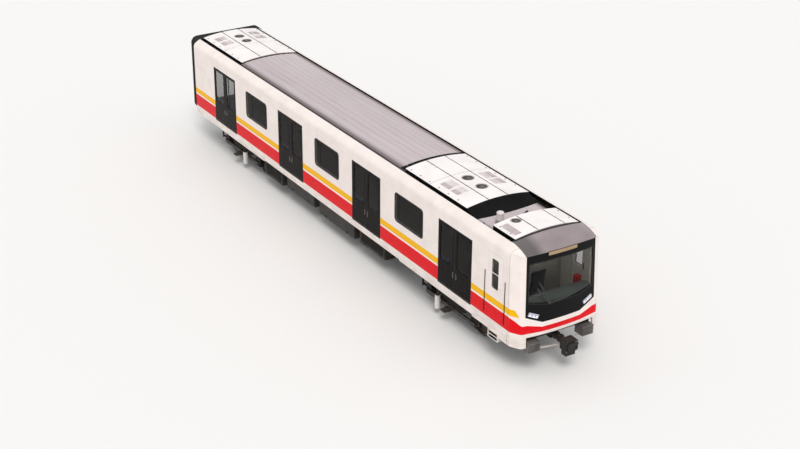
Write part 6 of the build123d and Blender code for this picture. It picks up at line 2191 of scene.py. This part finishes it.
@dataclass
class BogieTrim:
    """Dampers, axle box bolts, air pipes and spring clamps of both bogies."""

    side_y: float = 1.060
    beam_bolts: tuple[Row, Pair] = ((-0.55, -0.35, 0.35, 0.55), (0.535, 0.590))
    box_half: float = 0.105
    box_y: float = 1.069
    box_zs: Pair = (0.355, 0.545)
    damper_reach: float = 1.37
    damper_yz: Pair = (1.100, 0.515)
    damper: Profile = (
        (0.0, 0.0),
        (0.020, 0.0),
        (0.028, 0.010),
        (0.030, 0.10),
        (0.033, 0.105),
        (0.033, 0.22),
        (0.020, 0.232),
        (0.0, 0.232),
    )
    eye: Profile = (
        (0.0, 1.050),
        (0.016, 1.050),
        (0.016, 1.076),
        (0.030, 1.078),
        (0.030, 1.122),
        (0.012, 1.126),
        (0.0, 1.126),
    )
    eye_zs: Pair = (0.512, 0.750)
    pipe: tuple[Triple, ...] = ((0.28, 1.02, 0.66), (0.38, 1.085, 0.68), (0.62, 1.085, 0.74), (0.90, 1.080, 0.70))
    pipe_nut: Profile = ((0.0, 1.055), (0.024, 1.055), (0.024, 1.075), (0.0, 1.075))
    air_spring_y: float = 0.985
    air_spring_zs: Pair = (0.814, 0.9697)
    clamp: Profile = ((0.191, -0.006), (0.200, -0.004), (0.200, 0.004), (0.191, 0.006))
    collector_xs: Triple = (-1.0, 1.01, 0.25)
    collector_y: float = 1.124
    collector_zs: Pair = (0.415, 0.472)
    post_reach: float = 0.48
    post_y: float = 1.200
    post_cap: Profile = ((0.0, 0.16), (0.050, 0.16), (0.060, 0.168), (0.060, 0.178), (0.040, 0.186), (0.0, 0.186))
    bus: tuple[Triple, ...] = ((0, 1.20, 0.615), (0.02, 1.19, 0.655), (0.12, 1.13, 0.665), (0.24, 1.075, 0.63))

    def side(self, pivot: float) -> list[Part]:
        """The left side's dampers, bolts, pipes and clamps, by the X of the bogie's pivot.

        Args:
            pivot: X of the bogie's pivot.

        Returns:
            Surfaces with their finishes.
        """
        dark, steel, pipes = [], [], []
        for end in (-1.0, 1.0):
            axle, x = pivot + end * CAR.axle_reach, pivot + end * self.damper_reach
            spots = [(a, self.box_y, z) for a in around(axle, self.box_half) for z in self.box_zs]
            steel.append(bolts(spots, 0.018, 0.013, Axis.Y))
            dark.append(lathe(self.damper, (x, *self.damper_yz), Axis.Z, 18))
            steel += [lathe(self.eye, (x, 0, z), Axis.Y, 16) for z in self.eye_zs]
            run = sorted((axle + end * 0.10, x + end * 0.02))
            dark.append(box(run, (1.035, 1.068), (0.480, 0.545), 0.006))
            pipes.append(tube([(pivot + end * reach, y, z) for reach, y, z in self.pipe], 0.010, 22))
            steel.append(lathe(self.pipe_nut, (pivot + end * self.pipe[-1][0], 0, 0.70), Axis.Y, 6))
        for z in self.air_spring_zs:
            steel.append(lathe(self.clamp, (pivot, self.air_spring_y, z), Axis.Z, 36, True))
        xs, zs = self.beam_bolts
        spots = [(pivot + x, self.side_y - 0.001, z) for x in xs for z in zs]
        steel.append(bolts(spots, 0.014, 0.010, Axis.Y))
        return [(join(dark), DARK_METAL), (join(steel), WHEEL), (join(pipes), TANK_BLACK)]

    def collector(self, pivot: float, inner: float) -> list[Part]:
        """The left side's collector bolts, bus pipe and post cap.

        Args:
            pivot: X of the bogie's pivot.
            inner: Direction towards the middle of the car.

        Returns:
            Surfaces with their finishes.
        """
        post = pivot + inner * self.post_reach
        spots = [(pivot + x, self.collector_y, z) for x in np.arange(*self.collector_xs) for z in self.collector_zs]
        heads = bolts(spots, 0.010, 0.008, Axis.Y)
        cap = lathe(self.post_cap, (post, self.post_y, CAR.axle_z), Axis.Z, 28)
        return [(join([heads, cap]), WHEEL), (tube(np.add(self.bus, (post, 0, 0)), 0.014, 24, (0, 1, 0)), TANK_BLACK)]

    def build(self, shop: Workshop) -> None:
        """Make the trim of both bogies on both sides.

        Args:
            shop: Makes the pieces.
        """
        for name, pivot in CAR.bogies:
            parts = self.side(pivot) + self.collector(pivot, -np.sign(pivot))
            shop.piece(f"bogie_trim_{name}", *((s.both_sides(), f) for s, f in parts), body=f"bogie_{name}")


@dataclass
class WheelTrim:
    """Hub bolts, balance plugs and worn tread rings of the four wheelsets."""

    hub_y: float = 0.829
    hub_radius: float = 0.102
    ring: Profile = ((0.376, 0.814), (0.376, 0.816), (0.388, 0.816), (0.388, 0.814))
    plug: Profile = ((0.0, 0.760), (0.014, 0.760), (0.014, 0.785), (0.0, 0.785))
    plug_radius: float = 0.23
    plug_turns: tuple[Pair, ...] = ((1, 0), (-0.5, 0.866), (-0.5, -0.866))

    def build(self, shop: Workshop) -> None:
        """Make one piece for each wheelset.

        Args:
            shop: Makes the pieces.
        """
        z, r = CAR.axle_z, self.plug_radius
        a, b = disc(self.hub_radius, 8).T
        axles = [pivot + end * CAR.axle_reach for _, pivot in CAR.bogies for end in (-1.0, 1.0)]
        for number, x in enumerate(axles, 1):
            heads = bolts(xyz(x + a, self.hub_y, z + b), 0.009, 0.007, Axis.Y)
            mark = lathe(self.ring, (x, 0, z), Axis.Y, 64, True)
            plugs = join([lathe(self.plug, (x + r * c, 0, z + r * s), Axis.Y, 12) for c, s in self.plug_turns])
            parts = [(s.both_sides(), f) for s, f in ((heads, STEEL), (mark, STEEL), (plugs, DARK_METAL))]
            shop.piece(f"wheel_trim_{number}", *parts, body=f"wheelset_{number}")


@dataclass
class CouplerTrim:
    """Bolts, guide ring, pipe, side lever and contact cover of the front coupler."""

    face_x: float = 9.840
    bolt_y: float = 0.172
    bolt_heights: Pair = (-0.130, 0.120)
    guide_y: float = 0.13
    guide_height: float = 0.060
    flange_radius: float = 0.100
    guide: Profile = ((0.042, -0.001), (0.052, 0.0), (0.052, 0.008), (0.042, 0.012))
    hinge: Profile = ((0.0, -0.12), (0.009, -0.12), (0.009, 0.12), (0.0, 0.12))
    lever: tuple[Triple, ...] = ((9.70, -0.189, 0.07), (9.70, -0.23, 0.07), (9.69, -0.25, 0.02), (9.67, -0.255, -0.06))
    pipe: tuple[Triple, ...] = ((9.60, 0.150, -0.04), (9.52, 0.18, -0.06), (9.38, 0.17, -0.06), (9.27, 0.10, -0.03))
    flange_xs: Pair = (9.201, 9.361)
    cover_x: Pair = (9.790, 9.802)
    cover_half: float = 0.135
    cover_drops: Pair = (0.288, 0.168)
    hinge_x: float = 9.799
    hinge_drop: float = 0.163

    def build(self, shop: Workshop) -> None:
        """Make the coupler's fittings, all short of its flat face.

        Args:
            shop: Makes the pieces.
        """
        x, z = self.face_x, CAR.coupler_z
        spots = [(x - 0.001, y, z + h) for y in (-self.bolt_y, self.bolt_y) for h in self.bolt_heights]
        heads = bolts(spots, 0.013, 0.009, Axis.X)
        guide = lathe(self.guide, (x, self.guide_y, z + self.guide_height), Axis.X, 28, True)
        heights = tuple(z - drop for drop in self.cover_drops)
        cover = slab(rounded(around(0.0, self.cover_half), heights, 0.02), self.cover_x, Axis.X, 0.004)
        hinge = lathe(self.hinge, (self.hinge_x, 0, z - self.hinge_drop), Axis.Y, 12)
        lever = tube(np.add(self.lever, (0, 0, z)), 0.010, 22)
        pipe = tube(np.add(self.pipe, (0, 0, z)), 0.016, 26)
        a, b = disc(self.flange_radius, 6).T
        flanges = [bolts(xyz(px - 0.001, a, z + b), 0.009, 0.010, Axis.X) for px in self.flange_xs]
        steel = join([heads, guide, *flanges])
        shop.piece(
            "coupler_fittings", (steel, STEEL), (join([cover, hinge, lever]), CAST), (pipe, TANK_BLACK), body="coupler"
        )


@dataclass
class EndTrim:
    """Bolts and edge strips of the front apron, and the rear drawbar's bolts."""

    face_x: float = 9.399
    strip_x: Pair = (9.16, 9.36)
    strip_y: Pair = (1.039, 1.044)
    drawbar_x: float = -9.860
    drawbar_ring: float = 0.110
    bolt_ys: Pair = (0.70, 1.02)
    bolt_zs: Pair = (0.717, 0.943)
    strip_zs: Pair = (0.76, 0.90)

    def build(self, shop: Workshop) -> None:
        """Make the apron's strips and bolts, and the drawbar's ring of bolts.

        Args:
            shop: Makes the pieces.
        """
        spots = [(self.face_x, y, z) for y in self.bolt_ys for z in self.bolt_zs]
        heads = bolts(spots, 0.008, 0.006, Axis.X).both_sides()
        strips = join([box(self.strip_x, self.strip_y, around(z, 0.006), 0.002) for z in self.strip_zs]).both_sides()
        shop.piece("apron_fittings", (heads, STEEL), (strips, APRON))
        a, b = disc(self.drawbar_ring, 8, 0.2).T
        shop.piece("drawbar_bolts", (bolts(xyz(self.drawbar_x, a, CAR.coupler_z + b), 0.012, 0.010, Axis.X), STEEL))


@dataclass
class Studio:
    """Pale floor, soft light and the camera at the photograph's place."""

    camera_place: Triple = (35.875, -21.638, 20.513)
    yaw: float = 147.772
    pitch: float = -25.848
    roll: float = 0.453
    lens: float = 68.35
    far: float = 600.0
    floor_half: float = 400.0
    floor_colour: Triple = (0.93, 0.925, 0.92)
    sky: float = 0.80
    sky_colour: Triple = (0.97, 0.975, 0.98)
    sun: float = 1.5
    sun_colour: Triple = (1.0, 0.965, 0.93)
    sun_width: float = 24.0
    sun_turn: Triple = (36.0, 8.0, 50.0)

    def camera(self) -> None:
        """Aim the camera: forward from yaw and pitch, then its right and up turned by the roll."""
        yaw, pitch, roll = np.radians((self.yaw, self.pitch, self.roll))
        forward = np.array((np.cos(pitch) * np.cos(yaw), np.cos(pitch) * np.sin(yaw), np.sin(pitch)))
        level = np.cross(forward, (0.0, 0.0, 1.0))
        level /= np.linalg.norm(level)
        rise = np.cross(level, forward)
        right = np.cos(roll) * level + np.sin(roll) * rise
        up = -np.sin(roll) * level + np.cos(roll) * rise
        turn = np.eye(4)
        turn[:3] = np.column_stack((right, up, -forward, self.camera_place))
        data = bpy.data.cameras.new("camera")
        data.lens = self.lens
        data.clip_end = self.far
        camera = bpy.data.objects.new("camera", data)
        camera.matrix_world = Matrix(turn.tolist())
        bpy.context.scene.collection.objects.link(camera)
        bpy.context.scene.camera = camera

    def floor(self) -> None:
        """A wide pale floor under the wheels."""
        half = self.floor_half
        mesh = bpy.data.meshes.new("floor")
        mesh.from_pydata([(*corner, 0) for corner in corners_of((-half, half), (-half, half))], [], [(0, 1, 2, 3)])
        floor = bpy.data.objects.new("floor", mesh)
        bpy.context.scene.collection.objects.link(floor)
        bench = Bench("studio_floor")
        bench.set(Base_Color=linear(self.floor_colour), Roughness=0.9, Specular_IOR_Level=0.1)
        mesh.materials.append(bench.material)

    def light(self) -> None:
        """An even sky and one wide, soft sun."""
        world = bpy.data.worlds.new("studio")
        bpy.context.scene.world = world
        world.use_nodes = True
        colour, strength = world.node_tree.nodes["Background"].inputs[:2]
        colour.default_value = linear(self.sky_colour)
        strength.default_value = self.sky
        data = bpy.data.lights.new("key", "SUN")
        data.energy = self.sun
        data.angle = float(np.radians(self.sun_width))
        data.color = self.sun_colour
        key = bpy.data.objects.new("key", data)
        key.rotation_euler = np.radians(self.sun_turn).tolist()
        bpy.context.scene.collection.objects.link(key)

    def build(self) -> None:
        """Set up the whole studio."""
        bpy.context.scene.view_settings.view_transform = "Standard"
        self.camera()
        self.floor()
        self.light()


def main() -> None:
    """Dress the nodes, build the sub-assemblies in order and set up the studio."""
    logging.basicConfig(level=logging.INFO, format="%(message)s")
    wardrobe = Wardrobe()
    wardrobe.dress(FINISHED_NODES)
    shop = Workshop(wardrobe)
    outside = (RoofTrim(), RoofUnits(), Antennas(), Gangway(), SideTrim(), CabDoors(), Nose(), EndTrim())
    inside = (CabInterior(), DriverSeat(), Saloon())
    below = (Underfloor(), BogieTrim(), WheelTrim(), CouplerTrim())
    for assembly in (*outside, *inside, *below):
        LOG.info("building %s", type(assembly).__name__)
        assembly.build(shop)
    Studio().build()


if __name__ == "__main__":
    main()
